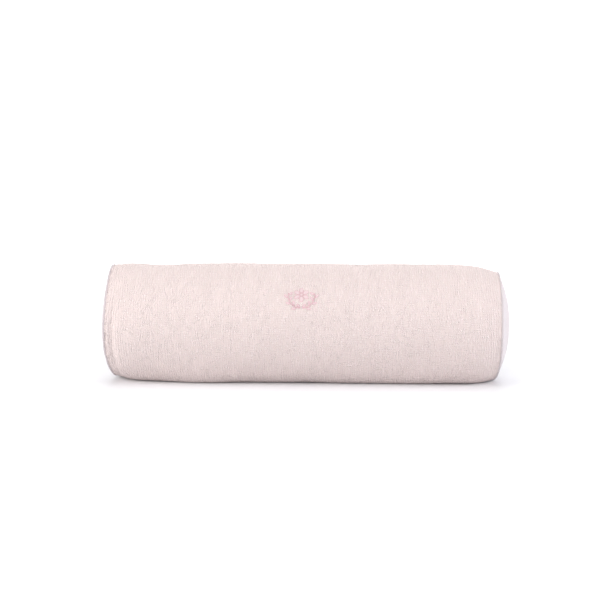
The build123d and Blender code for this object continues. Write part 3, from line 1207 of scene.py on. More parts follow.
class StitchTree(GrowingTree):
    """Lays one thread on each point of a mesh.

    Each point says which way its thread runs, which way is out of the cloth, and how long it is.
    """

    label = "lay_stitches"
    inputs = {"Thread Diameter": "Float", "Rise": "Float", "Length Jitter": "Float", "Seed": "Int"}

    def strand(self, given: Outputs) -> Node:
        """Makes one arched thread, one metre long, that thins where it dives into the cloth.

        Args:
            given: the tree's named inputs.

        Returns:
            The node that gives the thread.
        """
        tree = self.tree
        line = add_node(tree, "GeometryNodeCurvePrimitiveLine", {"Start": (-0.5, 0, 0), "End": (0.5, 0, 0)})
        fine = add_node(tree, "GeometryNodeResampleCurve", {"Curve": line, "Count": 7})
        place = add_node(tree, "GeometryNodeInputPosition")
        along = add_node(tree, "ShaderNodeSeparateXYZ", (place,)).outputs["X"]
        doubled = add_node(tree, MATH, (along, 2.0), operation="MULTIPLY")
        squared = add_node(tree, MATH, (doubled, doubled), operation="MULTIPLY")
        fall = add_node(tree, MATH, (1.0, squared), operation="SUBTRACT")
        lift = add_node(tree, MATH, (fall, given["Rise"]), operation="MULTIPLY")
        offset = add_node(tree, "ShaderNodeCombineXYZ", {"Z": lift})
        arch = add_node(tree, "GeometryNodeSetPosition", {0: fine, "Offset": offset})
        steep = add_node(tree, MATH, (squared, 3.0), operation="POWER")
        thin = add_node(tree, MATH, (steep, -0.55, 1.0), operation="MULTIPLY_ADD")
        tapered = add_node(tree, "GeometryNodeSetCurveRadius", {0: arch, "Radius": thin})
        return self.tube(tapered, given["Thread Diameter"])

    def grow(self, given: Outputs) -> Node:
        """Puts the thread on every point, turned and stretched as the point says.

        Args:
            given: the tree's named inputs.

        Returns:
            The node that gives the laid threads.
        """
        tree = self.tree
        kinds = {"along": "FLOAT_VECTOR", "outward": "FLOAT_VECTOR", "length": "FLOAT"}
        along, outward, length = (
            add_node(tree, "GeometryNodeInputNamedAttribute", {"Name": name}, data_type=kind)
            for name, kind in kinds.items()
        )
        axes = {"primary_axis": "Z", "secondary_axis": "X"}
        turn = add_node(tree, "FunctionNodeAxesToRotation", (outward, along), **axes)
        low, high = (
            add_node(tree, MATH, (1.0, given["Length Jitter"]), operation=way)
            for way in ("SUBTRACT", "ADD")
        )
        inputs = {"Min": low, "Max": high, "Seed": given["Seed"]}
        chance = add_node(tree, "FunctionNodeRandomValue", inputs, data_type="FLOAT")
        size = add_node(tree, MATH, (length, chance), operation="MULTIPLY")
        scale = add_node(tree, "ShaderNodeCombineXYZ", (size, 1.0, 1.0))
        inputs = {"Points": given["Geometry"], "Instance": self.strand(given), "Rotation": turn}
        return add_node(tree, "GeometryNodeInstanceOnPoints", {**inputs, "Scale": scale})

    def sew(self, name: str, ends: Array, outward: Array, sizes: Stitching, thread: Material) -> Object:
        """Makes a plain mesh of threads.

        Args:
            name: the piece's name.
            ends: two end points of each thread, in millimetres.
            outward: the way out of the cloth at each thread.
            sizes: the thread and how it lies.
            thread: its finish.

        Returns:
            The object.
        """
        across = ends[:, 1] - ends[:, 0]
        points = make_object(name, ends.mean(axis=1) + outward * sizes.height, [])
        lengths = np.linalg.norm(across, axis=1) * MM
        stored = (
            ("along", "FLOAT_VECTOR", "vector", unit(across)),
            ("outward", "FLOAT_VECTOR", "vector", unit(outward)),
            ("length", "FLOAT", "value", lengths),
        )
        for word, kind, key, numbers in stored:
            store = points.data.attributes.new(word, kind, "POINT")
            store.data.foreach_set(key, numbers.astype(np.float32).ravel())
        values = {
            "Thread Diameter": sizes.diameter * MM,
            "Rise": sizes.rise * MM,
            "Length Jitter": sizes.jitter,
            "Seed": sizes.seed,
            "Material": thread,
        }
        return self.run(points, values)


class CoilTree(GrowingTree):
    """Winds one side of a zip's coil along a straight line."""

    label = "wind_coil"
    inputs = {
        **dict.fromkeys(("Turns", "Length", "Width", "Height", "Wire"), "Float"),
        **dict.fromkeys(("Start", "Along", "Across", "Outward"), "Vector"),
    }

    def grow(self, given: Outputs) -> Node:
        """Stretches a spiral to the coil's width and height, and lays it along its line.

        Args:
            given: the tree's named inputs.

        Returns:
            The node that gives the wire.
        """
        tree = self.tree
        inputs = {
            "Resolution": 12,
            "Rotations": given["Turns"],
            "Start Radius": 0.5,
            "End Radius": 0.5,
            "Height": given["Length"],
        }
        spiral = add_node(tree, "GeometryNodeCurveSpiral", inputs)
        place = add_node(tree, "GeometryNodeInputPosition")
        axes = add_node(tree, "ShaderNodeSeparateXYZ", (place,)).outputs
        reach = add_node(tree, MATH, (axes["X"], given["Width"]), operation="MULTIPLY")
        rise = add_node(tree, MATH, (axes["Y"], given["Height"]), operation="MULTIPLY")
        total = given["Start"]
        for way, size in (("Along", axes["Z"]), ("Across", reach), ("Outward", rise)):
            scaled = add_node(tree, VECTOR_MATH, {0: given[way], "Scale": size}, operation="SCALE")
            total = add_node(tree, VECTOR_MATH, (total, scaled), operation="ADD")
        bent = add_node(tree, "GeometryNodeSetPosition", {0: spiral, "Position": total})
        return self.tube(bent, given["Wire"])


# ---------------- the pillow's pieces


def layer(
    shape: RollShape,
    name: str,
    grid: tuple[Array, Array],
    insets: tuple[float, float],
    bedded: bool = False,
    wrap: bool = False,
) -> Object:
    """Makes a layer of cloth or wadding that follows the long side of the roll.

    Args:
        shape: the roll.
        name: the piece's name.
        grid: a column of places along the roll, and a row of angles round it.
        insets: of its outer and inner faces.
        bedded: whether the slider's flat is pressed into it.
        wrap: whether it goes right round the roll.

    Returns:
        The object.
    """
    faces = [shape.surface(*grid, inset, bedded) for inset in insets]
    uv = np.stack(np.broadcast_arrays(grid[0], grid[1] * shape.radius), axis=-1)
    return skin_piece(name, *faces, uv, wrap)


@dataclass
class Filling:
    """The foam core and the wadding that softens it."""

    shape: RollShape
    foam_half: float = 277.0
    foam_inset: float = 11.85
    wadding_inset: float = 2.55
    gap: float = 0.3
    around_count: int = 96
    along_count: int = 72

    def disc(self, side: Side, at: float, inset: float, shares: Array) -> Array:
        """Rings of a flat cut across the roll, from its middle outwards.

        Args:
            side: which end it is nearer.
            at: its distance from the roll's middle.
            inset: of its rim.
            shares: of the way from the middle to the rim.

        Returns:
            The rings.
        """
        rim = self.shape.surface(side.value * at, angles_round(self.around_count), inset, bedded=True)
        middle = np.array([side.value * at, 0, self.shape.axis_height])
        return middle + (rim - middle) * shares[:, None, None]

    def places(self, rows: Array) -> Array:
        """Places on the cloth for rings of points."""
        around = np.broadcast_to(angles_round(self.around_count), rows.shape[:2])
        return np.stack([rows[..., 0], around * self.shape.radius], axis=-1)

    def core(self, foam: Material) -> Object:
        """The foam roll, cut square at both ends.

        Args:
            foam: its finish.

        Returns:
            The dressed piece.
        """
        shares = np.linspace(0, 1, 7)
        along = np.linspace(-self.foam_half, self.foam_half, self.along_count)[1:-1, None]
        around = angles_round(self.around_count)[None, :]
        side = self.shape.surface(along, around, self.foam_inset, bedded=True)
        left = self.disc(Side.LEFT, self.foam_half, self.foam_inset, shares)
        right = self.disc(Side.RIGHT, self.foam_half, self.foam_inset, shares[::-1])
        rows = np.concatenate([left, side, right])
        piece = lathe_piece("foam_roll", rows, self.places(rows))
        return dress(piece, "bolster", "foam", foam, "foam_core")

    def wrap(self, wadding: Material) -> Object:
        """The wadding wound round the foam.

        Args:
            wadding: its finish.

        Returns:
            The dressed piece.
        """
        along = np.linspace(-self.foam_half, self.foam_half, self.along_count)[:, None]
        around = angles_round(self.around_count)[None, :]
        insets = (self.wadding_inset, self.foam_inset - self.gap)
        piece = layer(self.shape, "wadding_sleeve", (along, around), insets, bedded=True, wrap=True)
        return dress(piece, "bolster", "wadding", wadding, "wadding_wrap")

    def pad(self, side: Side, wadding: Material) -> Object:
        """The wadding that fills one domed end.

        Args:
            side: which end.
            wadding: its finish.

        Returns:
            The dressed piece.
        """
        around = angles_round(self.around_count)[None, :]
        shares = np.linspace(0, 1, 15)[:, None]
        dome = self.shape.end(side, shares, around, self.wadding_inset, bedded=True)
        back = self.foam_half + self.gap
        steps = np.linspace(self.shape.half_span - self.wadding_inset, back, 6)[1:, None]
        wall = self.shape.surface(side.value * steps, around, self.wadding_inset, bedded=True)
        flat = self.disc(side, back, self.wadding_inset, np.linspace(1, 0, 7)[1:])
        rows = np.concatenate([dome, wall, flat])
        piece = lathe_piece(f"wadding_{side.word}_pad", rows, self.places(rows), flip=side is Side.RIGHT)
        return dress(piece, "bolster", "wadding", wadding, f"wadding_{side.word}_end")

    def build(self, foam: Material, wadding: Material) -> None:
        """Args:
            foam: the core's finish.
            wadding: the wadding's.
        """
        self.core(foam)
        self.wrap(wadding)
        for side in Side:
            self.pad(side, wadding)


@dataclass
class InnerCase:
    """The calico case that holds the filling when the cover is off."""

    shape: RollShape
    inset: float = 1.75
    wall: float = 0.5
    around_count: int = 120
    along_count: int = 110

    def build(self, calico: Material) -> None:
        """Makes the long panel and the two round ends.

        Args:
            calico: their finish.
        """
        around = angles_round(self.around_count)[None, :]
        seam = self.shape.half_span - self.inset - self.wall
        along = np.linspace(-seam, seam, self.along_count)[:, None]
        insets = (self.inset, self.inset + self.wall)
        tube = layer(self.shape, "inner_case_panel", (along, around), insets, bedded=True, wrap=True)
        dress(tube, "bolster", "calico", calico, "liner_tube")
        for side in Side:
            name = f"inner_case_{side.word}_end"
            piece = end_panel(self.shape, side, name, self.inset, self.wall, self.around_count)
            dress(piece, "bolster", "calico", calico, f"liner_{side.word}_end")


def end_panel(shape: RollShape, side: Side, name: str, inset: float, wall: float, count: int) -> Object:
    """Makes a round end panel with its two faces.

    Args:
        shape: the roll.
        side: which end.
        name: the piece's name.
        inset: of the panel's outer face.
        wall: its thickness.
        count: points round the roll.

    Returns:
        The object.
    """
    around = angles_round(count)[None, :]
    shares = np.concatenate([np.linspace(0, 0.84, 22), np.linspace(0.87, 1, 10)])[:, None]
    bedded = inset > wall
    outer = shape.end(side, shares, around, inset, bedded)
    inner = shape.end(side, shares[::-1], around, inset + wall, bedded)
    rows = np.concatenate([outer, inner])
    both = np.concatenate([shares, shares[::-1]])
    reach = both * shape.ends[side].radius
    uv = np.stack([reach * np.cos(around), reach * np.sin(around)], axis=-1)
    return lathe_piece(name, rows, uv, flip=side is Side.RIGHT)


@dataclass
class Cover:
    """The zip-off cover: one long panel wrapped round the roll, two round ends, and the piping."""

    shape: RollShape
    wall: float = 0.9
    cell: float = 3.0
    end_cell: float = 1.6
    end_reach: float = 26.0  # how far from an end seam the cells are small
    half_slot: float = 6.25
    half_opening: float = 235.0
    slot_step: float = 0.15  # over which the opening's end is cut
    edge_steps: tuple[float, ...] = (0, 0.35, 0.8, 1.5, 2.5, 3.7, 5.2)  # of the points beside the zip
    hem_depth: float = 0.32
    seam_depth: float = 1.0
    seam_half: float = 0.12
    pinch_reach: float = 9.0  # how far round the roll the cloth is drawn to the seam past the zip
    fold_reach: tuple[float, float] = (0.6, 0.9)  # of the hem's fold and of the seam's
    stitch_dent: tuple[float, float, float] = (0.16, 2.5, 0.7)  # its depth, distance from the hem, and reach
    piping_radius: float = 1.6
    cord_radius: float = 1.1
    flange: float = 10.0
    flange_inset: float = 0.95
    flange_wall: float = 0.5
    ring_count: int = 240

    def columns(self) -> Array:
        """Places along the roll for the long panel's rows of points.

        Returns:
            The places, closer together near the end seams.
        """
        seam = self.shape.half_span - self.wall
        fine = np.linspace(seam - self.end_reach, seam, round(self.end_reach / self.end_cell) + 1)
        last = self.half_opening + self.slot_step
        first = self.half_opening - self.slot_step
        middle = np.linspace(0, first, round(self.half_opening / self.cell) + 1)
        between = np.linspace(last, fine[0], round((fine[0] - last) / self.cell) + 1)[:-1]
        right = np.concatenate([middle, between, fine])
        return np.concatenate([-right[:0:-1], right])

    def offsets(self) -> Array:
        """Distances from one zip edge to the other, round the roll.

        Returns:
            The distances, closer together at the zip's edges.
        """
        near = np.array(self.edge_steps)
        full = TURN * self.shape.radius - 2 * self.half_slot
        count = round((full - 2 * near[-1]) / self.cell)
        middle = np.linspace(near[-1], full - near[-1], count)[1:-1]
        return np.concatenate([near, middle, full - near[::-1]])

    def panel(self, cotton: Material) -> Object:
        """The long panel, open along the zip and sewn to itself past the zip's ends.

        Args:
            cotton: its finish.

        Returns:
            The dressed piece.
        """
        along = self.columns()[:, None]
        full = TURN * self.shape.radius
        offset = self.offsets()[None, :]
        in_slot = np.abs(along) < self.half_opening
        edge = np.where(in_slot, self.half_slot, self.seam_half)
        near = np.minimum(offset, offset.max() - offset)
        way = np.sign(offset.max() / 2 - offset)
        stretch = (edge - self.half_slot) * bell(near / self.pinch_reach) * way
        turn = self.half_slot + offset + stretch
        around = self.shape.zip_angle + turn / self.shape.radius
        fold = bell(near / np.where(in_slot, *self.fold_reach))
        fold = np.where(in_slot, self.hem_depth, self.seam_depth) * fold
        depth, gap, reach = self.stitch_dent
        dent = depth * bell((near - gap) / reach) * in_slot
        out = self.shape.outward(around) * (fold + dent)[..., None]
        along = np.broadcast_to(along, around.shape)
        outer = self.shape.surface(along, around) - out
        inner = self.shape.surface(along, around, self.wall) - out * 0.5
        piece = skin_piece("cover_long_panel", outer, inner, np.stack([along, turn - full / 2], axis=-1))
        return dress(piece, "bolster", "cover_cloth", cotton, "cover_tube")

    def bead(self, side: Side, radius: float, lobes: int = 0, twist: int = 0) -> tuple[Array, Array]:
        """Rings of points that follow an end seam.

        Args:
            side: which end.
            radius: of the bead.
            lobes: strands that show round it.
            twist: whole turns of the strands, once round the seam.

        Returns:
            The points, and places on the cloth for them.
        """
        around = angles_round(self.ring_count)[:, None]
        about = angles_round(12)[None, :]
        middle = self.shape.surface(side.value * self.shape.half_span, around)
        if lobes:
            bumps = 1 - 0.1 * np.abs(np.sin((lobes * about + twist * around) / 2))
        else:
            bumps = 1 + 0.02 * np.sin(90 * around)  # the small puckers of a sewn sleeve
        size = radius * bumps * np.ones_like(about)
        out = self.shape.outward(around)
        axis = np.array([1.0, 0.0, 0.0])
        spoke = np.cos(about)[..., None] * out + np.sin(about)[..., None] * axis
        points = middle + size[..., None] * spoke
        reach = around * self.shape.ends[side].radius
        return points, np.stack(np.broadcast_arrays(reach, about * radius), axis=-1)

    def ring(self, name: str, rows: Array, uv: Array) -> Object:
        """A closed ring of cord from its rings of points.

        Args:
            name: the piece's name.
            rows: the points.
            uv: places on the cloth for them.

        Returns:
            The object.
        """
        count, about = rows.shape[:2]
        quads = grid_faces(count + 1, about, wrap=True) % (count * about)
        return make_object(name, rows.reshape(-1, 3), quads[:, ::-1], uv.reshape(-1, 2))

    def piping(self, side: Side, cord: Material, cloth: Material) -> None:
        """The cord in one end seam and the cloth wrapped round it, with its flange turned in.

        Args:
            side: which end.
            cord: the cord's finish.
            cloth: the sleeve's.
        """
        rows, uv = self.bead(side, self.cord_radius, lobes=3, twist=60)
        core = self.ring(f"{side.word}_cord", rows, uv)
        dress(core, "bolster", "cotton_cord", cord, f"{side.word}_piping_cord")
        rows, uv = self.bead(side, self.piping_radius)
        sleeve = self.ring(f"{side.word}_piping", rows, uv)
        pieces = [sleeve, self.flange_strip(side)]
        with bpy.context.temp_override(active_object=sleeve, selected_editable_objects=pieces):
            bpy.ops.object.join()
        dress(sleeve, "bolster", "piping_cloth", cloth, f"{side.word}_piping_sleeve")

    def flange_strip(self, side: Side) -> Object:
        """The strip of piping cloth that is turned in under the long panel.

        Args:
            side: which end.

        Returns:
            The object.
        """
        around = angles_round(self.ring_count)[None, :]
        edge = self.shape.half_span - self.flange_inset
        along = np.sort(side.value * np.linspace(edge - self.flange, edge, 6))[:, None]
        insets = (self.flange_inset, self.flange_inset + self.flange_wall)
        return layer(self.shape, "flange", (along, around), insets, wrap=True)

    def build(self, cotton: Material, end_cotton: Material, cord: Material, piping: Material) -> None:
        """Args:
            cotton: the long panel's finish.
            end_cotton: the round ends', the same cotton recoloured greyer, lilac and darker to paint in how
                the side lights fall on them.
            cord: the filler cords'.
            piping: the piping sleeves'.
        """
        self.panel(cotton)
        for side in Side:
            name = f"cover_{side.word}_panel"
            panel = end_panel(self.shape, side, name, 0.0, self.wall, self.ring_count)
            dress(panel, "bolster", "end_cloth", end_cotton, f"cover_{side.word}_end")
            self.piping(side, cord, piping)


@dataclass
class ZipFastener:
    """The coil zip at the back, its sewing, and the slider with its pull."""

    shape: RollShape
    stitches: StitchTree
    coil_start: float = -224.3
    coil_end: float = 226.8
    pitch: float = 1.3
    coil_width: float = 3.0
    coil_height: float = 1.35
    wire: float = 0.58
    coil_middle: float = 0.02  # above the roll's surface
    head_overlap: float = 0.42  # of each coil's heads past the middle line
    half_slot: float = 6.25
    half_opening: float = 235.0
    stitch_pitch: float = 3.0
    stitch_length: float = 2.35
    row_gap: float = 2.5  # from the edge of the opening to a row of stitches
    tack_count: int = 15
    tack_length: float = 2.2
    tack_gap: float = 0.9  # past the end of the opening
    tack_margin: float = 0.4  # from the edge of the opening to the end of a tack
    hold_across: float = 2.05  # from the zip's middle to the stitches on a coil
    hold_half: float = 0.5  # half the length of one of them
    hold_sink: float = 0.04  # into the wire

    @property
    def outward(self) -> Array:
        """Straight out of the roll along the zip."""
        return self.shape.outward(np.array(self.shape.zip_angle))

    @property
    def across(self) -> Array:
        """Up the roll, across the zip."""
        return np.array([0, -math.sin(self.shape.zip_angle), math.cos(self.shape.zip_angle)])

    def spot(self, along: float, across: float, out: float = 0.0) -> Array:
        """A point in the zip's own frame, whose x runs towards the left end."""
        origin = np.array([0, 0, self.shape.axis_height]) + self.shape.radius * self.outward
        return origin + np.array([-along, 0, 0]) + across * self.across + out * self.outward

    def coil(self, name: str, up: int, nylon: Material, node: str, tree: CoilTree) -> None:
        """Winds one coil from its wire.

        Args:
            name: the piece's name.
            up: 1 for the upper coil and -1 for the lower.
            nylon: its finish.
            node: the CAD node that it stands for.
            tree: the coil's node tree.
        """
        turns = (self.coil_end - self.coil_start) / self.pitch - 1
        start = self.coil_start + self.wire + (self.pitch / 2 if up > 0 else 0)
        middle = up * (self.coil_width / 2 - self.head_overlap + self.wire / 2)
        values = {
            "Turns": turns,
            "Length": turns * self.pitch * MM,
            "Width": (self.coil_width - self.wire) * MM,
            "Height": self.coil_height * MM,
            "Wire": self.wire * MM,
            "Start": (self.spot(start, middle, self.coil_middle) * MM).tolist(),
            "Along": (-1.0, 0.0, 0.0),
            "Across": (up * self.across).tolist(),
            "Outward": self.outward.tolist(),
            "Material": nylon,
        }
        holder = make_object(name, np.zeros((1, 3)), [])
        dress(tree.run(holder, values), "bolster", "zip_coil", nylon, node)

    def thread(self, along: float, turn: float, length: float, lengthwise: bool) -> tuple[Array, Array]:
        """The two ends of a thread on the cover, centred a distance round the roll from the zip.

        Args:
            along: its place along the roll.
            turn: how far round the roll from the zip's middle, upwards.
            length: of the thread.
            lengthwise: whether it runs along the roll.

        Returns:
            The ends, and the way out of the cloth.
        """
        around = self.shape.zip_angle + turn / self.shape.radius
        step = length / 2
        if lengthwise:
            ends = self.shape.surface(np.array([along - step, along + step]), around)
        else:
            ends = self.shape.surface(along, around + np.array([-step, step]) / self.shape.radius)
        return ends, self.shape.outward(np.array(around))

    def topstitch(self, thread: Material) -> None:
        """Sews the rows of stitches round the opening, and a bar tack at each end of it.

        Args:
            thread: their finish.
        """
        laid = []
        rail = self.half_slot + self.row_gap
        reach = self.half_opening + self.row_gap
        count = round(2 * reach / self.stitch_pitch)
        for number in range(count):
            along = -reach + (number + 0.5) * 2 * reach / count
            laid += [self.thread(along, way * rail, self.stitch_length, True) for way in (-1, 1)]
        count = round(2 * rail / self.stitch_pitch)
        for number in range(count):
            turn = -rail + (number + 0.5) * 2 * rail / count
            laid += [self.thread(way * reach, turn, self.stitch_length, False) for way in (-1, 1)]
        for number in range(self.tack_count):
            turn = (number / (self.tack_count - 1) - 0.5) * 2 * (self.half_slot - self.tack_margin)
            place = self.half_opening + self.tack_gap
            laid += [self.thread(way * place, turn, self.tack_length, True) for way in (-1, 1)]
        ends = np.array([pair for pair, _ in laid])
        outward = np.array([way for _, way in laid])
        sizes = Stitching(0.36, 0.16, -0.05, seed=3)
        piece = self.stitches.sew("zip_topstitching", ends, outward, sizes, thread)
        dress(piece, "bolster", "cover_cloth", thread)

    def coil_stitches(self, thread: Material) -> None:
        """Sews each coil down on its tape, one stitch to each turn.

        Args:
            thread: their finish.
        """
        count = round((self.coil_end - self.coil_start) / self.pitch) - 2
        laid = []
        for number in range(count):
            along = self.coil_start + (number + 1.5) * self.pitch
            for way in (-1, 1):
                middle = self.spot(along, way * self.hold_across)
                step = np.array([self.hold_half, 0, 0])
                laid.append(np.array([middle - step, middle + step]))
        outward = np.tile(self.outward, (len(laid), 1))
        sizes = Stitching(0.24, 0.06, self.coil_height / 2 + self.wire / 2 - self.hold_sink, seed=4)
        piece = self.stitches.sew("coil_stitching", np.array(laid), outward, sizes, thread)
        dress(piece, "bolster", "zip_coil", thread)

    def build(
        self, tape: Material, nylon: Material, metal: Material, enamel: Material, thread: Material
    ) -> None:
        """Dresses the zip's metal and tapes, and makes its coils and its sewing.

        Args:
            tape: the tapes' finish.
            nylon: the coils'.
            metal: the stops'.
            enamel: the slider's.
            thread: the topstitching's.
        """
        kept = (
            (tape, ("zip_upper_tape", "zip_lower_tape")),
            (metal, ("zip_top_stops", "zip_bottom_stop")),
            (enamel, ("slider_body", "slider_pull")),
        )
        for material, nodes in kept:
            for node in nodes:
                refinish(node, material)
        tree = CoilTree()
        self.coil("upper_coil", 1, nylon, "zip_upper_coil", tree)
        self.coil("lower_coil", -1, nylon, "zip_lower_coil", tree)
        self.topstitch(thread)
        self.coil_stitches(nylon)


@dataclass
class Embroidery:
    """The flower and its two sprigs, worked in satin stitch with stem-stitch outlines."""

    shape: RollShape
    stitches: StitchTree
    middle: float = math.radians(180 - 33)
    offset: float = -3.0
    petals: int = 6
    petal_length: float = 8.4
    petal_width: float = 5.4
    petal_reach: float = 7.2
    eye: float = 4.4
    flower_rise: float = 6.2
    arc_radius: float = 19.5
    arc_bottom: float = -15.3
    arc_start: float = math.radians(5)
    arc_end: float = math.radians(104)
    leaf_angles: tuple[float, ...] = (14.0, 29.0, 44.0, 59.0, 74.0, 89.0, 104.0)
    leaf_length: float = 6.6
    leaf_width: float = 2.7
    leaf_lean: float = math.radians(38)
    leaf_offset: float = 3.2
    spacing: float = 0.42
    outline_pitch: float = 1.25
    outline_length: float = 2.0
    slant: float = 0.12  # of a satin thread, as a share of half its length, and of a stem stitch
    stem_gap: float = 0.35  # between a stem's two rows
    backing: tuple[float, float, float] = (60.0, 44.0, 0.3)
    backing_inset: float = 0.95

    def oval(
        self, centre: tuple[float, float], size: tuple[float, float], turn: float, grow: float = 0.0
    ) -> list:
        """Satin threads across an oval.

        Args:
            centre: its middle on the motif.
            size: its length and width.
            turn: the angle of its length.
            grow: how far the threads reach past its edge.

        Returns:
            Pairs of end points on the motif.
        """
        long, wide = size
        ahead = np.array([math.cos(turn), math.sin(turn)])
        aside = np.array([-ahead[1], ahead[0]])
        count = max(3, round(long / self.spacing))
        threads = []
        for number in range(count):
            place = ((number + 0.5) / count - 0.5) * long
            half = wide / 2 * math.sqrt(max(0.0, 1 - (2 * place / long) ** 2)) + grow
            slant = self.slant * half * ahead
            at = np.array(centre) + place * ahead
            threads.append((at - half * aside - slant, at + half * aside + slant))
        return threads

    def outline(self, path: Array) -> list:
        """Stem stitches along a path on the motif, each slightly across it.

        Args:
            path: points on the motif.

        Returns:
            Pairs of end points on the motif.
        """
        steps = np.linalg.norm(np.diff(path, axis=0), axis=1)
        reach = np.concatenate([[0], np.cumsum(steps)])
        count = max(2, round(reach[-1] / self.outline_pitch))
        threads = []
        for number in range(count):
            middle = (number + 0.5) / count * reach[-1]
            spots = (middle - self.outline_length / 2, middle + self.outline_length / 2)
            first, last = np.array([[np.interp(spot, reach, way) for way in path.T] for spot in spots])
            x, y = last - first
            aside = self.slant * np.array([-y, x]) / max(np.linalg.norm(last - first), 1e-6)
            threads.append((first - aside, last + aside))
        return threads

    def loop(self, centre: tuple[float, float], size: tuple[float, float], turn: float) -> Array:
        """The outline of an oval.

        Args:
            centre: its middle on the motif.
            size: its length and width.
            turn: the angle of its length.

        Returns:
            Points on the motif.
        """
        angle = np.linspace(0, TURN, 49)
        x, y = size[0] / 2 * np.cos(angle), size[1] / 2 * np.sin(angle)
        cos, sin = math.cos(turn), math.sin(turn)
        return np.stack([centre[0] + x * cos - y * sin, centre[1] + x * sin + y * cos], axis=1)

    def flower(self) -> tuple[list, list]:
        """Threads that fill the flower, and threads of its outlines.

        Returns:
            Both as pairs of end points on the motif.
        """
        filled, lines = [], []
        for number in range(self.petals):
            turn = math.pi / 2 + number * TURN / self.petals
            rise = self.flower_rise + self.petal_reach * math.sin(turn)
            centre = (self.petal_reach * math.cos(turn), rise)
            size = (self.petal_length, self.petal_width)
            filled += self.oval(centre, size, turn)
            lines += self.outline(self.loop(centre, size, turn))
        eye = (self.eye, self.eye)
        filled += self.oval((0, self.flower_rise), eye, 0.3)
        lines += self.outline(self.loop((0, self.flower_rise), eye, 0.0))
        return filled, lines

    def sprig(self, way: int) -> tuple[list, list]:
        """Threads of one sprig's leaves, and of its stem and leaf outlines.

        Args:
            way: 1 for the right sprig and -1 for the left.

        Returns:
            Both as pairs of end points on the motif.
        """
        middle = np.array([0, self.arc_bottom + self.arc_radius])
        angle = np.linspace(self.arc_start, self.arc_end, 40)
        stem = middle + self.arc_radius * np.stack([way * np.sin(angle), -np.cos(angle)], axis=1)
        lines = self.outline(stem) + self.outline(stem + np.array([0, self.stem_gap]))
        filled = []
        for number, degrees in enumerate(self.leaf_angles):
            along = math.radians(degrees)
            side = 1 if number % 2 else -1
            turn = way * (along - side * self.leaf_lean)
            distance = self.arc_radius + side * self.leaf_offset
            centre = (way * distance * math.sin(along), middle[1] - distance * math.cos(along))
            filled += self.oval(centre, (self.leaf_length, self.leaf_width), turn, 0.1)
            lines += self.outline(self.loop(centre, (self.leaf_length, self.leaf_width), turn))
        return filled, lines

    def on_cloth(self, threads: list) -> tuple[Array, Array]:
        """Lays pairs of points of the motif on the roll.

        Args:
            threads: pairs of end points on the motif.

        Returns:
            Pairs of points in the frame, and the way out of the cloth for each.
        """
        flat = np.array(threads)
        around = self.middle - flat[..., 1] / self.shape.radius
        ends = self.shape.surface(flat[..., 0] + self.offset, around)
        return ends, self.shape.outward(around.mean(axis=1))

    def build(self, thread: Material, dark_thread: Material, felt: Material) -> None:
        """Makes the two layers of thread and the felt behind the cover.

        Args:
            thread: the satin stitch's finish.
            dark_thread: the outlines'.
            felt: the backing's.
        """
        parts = [self.flower(), self.sprig(-1), self.sprig(1)]
        filled = self.on_cloth([pair for part in parts for pair in part[0]])
        lines = self.on_cloth([pair for part in parts for pair in part[1]])
        satin = self.stitches.sew("satin_stitch", *filled, Stitching(0.46, 0.14, 0.1, seed=5), thread)
        dress(satin, "bolster", "embroidery_thread", thread, "embroidered_motif")
        stem = self.stitches.sew("stem_stitch", *lines, Stitching(0.5, 0.12, 0.28, seed=6), dark_thread)
        dress(stem, "bolster", "embroidery_thread", dark_thread)
        self.felt_backing(felt)

    def felt_backing(self, felt: Material) -> None:
        """The rectangle of felt inside the cover that the threads are worked through.

        Args:
            felt: its finish.
        """
        long, tall, thick = self.backing
        along = np.linspace(-long / 2, long / 2, 24)[:, None] + self.offset
        around = self.middle + np.linspace(-tall / 2, tall / 2, 18)[None, :] / self.shape.radius
        insets = (self.backing_inset, self.backing_inset + thick)
        piece = layer(self.shape, "felt_backing", (along, around), insets)
        dress(piece, "bolster", "backing_felt", felt, "embroidery_backing")


@dataclass
class CareLabel:
    """The blank satin label that hangs from the plain seam past the zip."""

    shape: RollShape
    start: float = -247.0
    width: float = 30.0
    drop: float = 42.0
    thickness: float = 0.3
    clear: float = 0.12
    curl: float = 2.6  # how far its free end stands off the cover
    wave: float = 0.5
    sewn_dip: float = 0.6  # at the seam that holds it

    def build(self, satin: Material) -> None:
        """Args:
            satin: its finish.
        """
        across = np.linspace(0, self.width, 16)[:, None]
        down = np.linspace(0, self.drop, 29)[None, :]
        along = self.start - across
        around = self.shape.zip_angle - down / self.shape.radius
        part = down / self.drop
        wave = self.wave * part**2 * np.sin(across / self.width * math.pi * 1.6 + 0.4)
        off = self.clear + self.curl * part**3 + wave - self.sewn_dip * bell(down / 1.2)
        out = self.shape.outward(around)
        base = self.shape.surface(along, around)
        faces = [base + (off + layer)[..., None] * out for layer in (self.thickness, 0.0)]
        uv = np.stack(np.broadcast_arrays(across, down), axis=-1)
        piece = skin_piece("blank_care_label", *faces, uv)
        dress(piece, "bolster", "label_satin", satin, "care_label")


# ---------------- studio


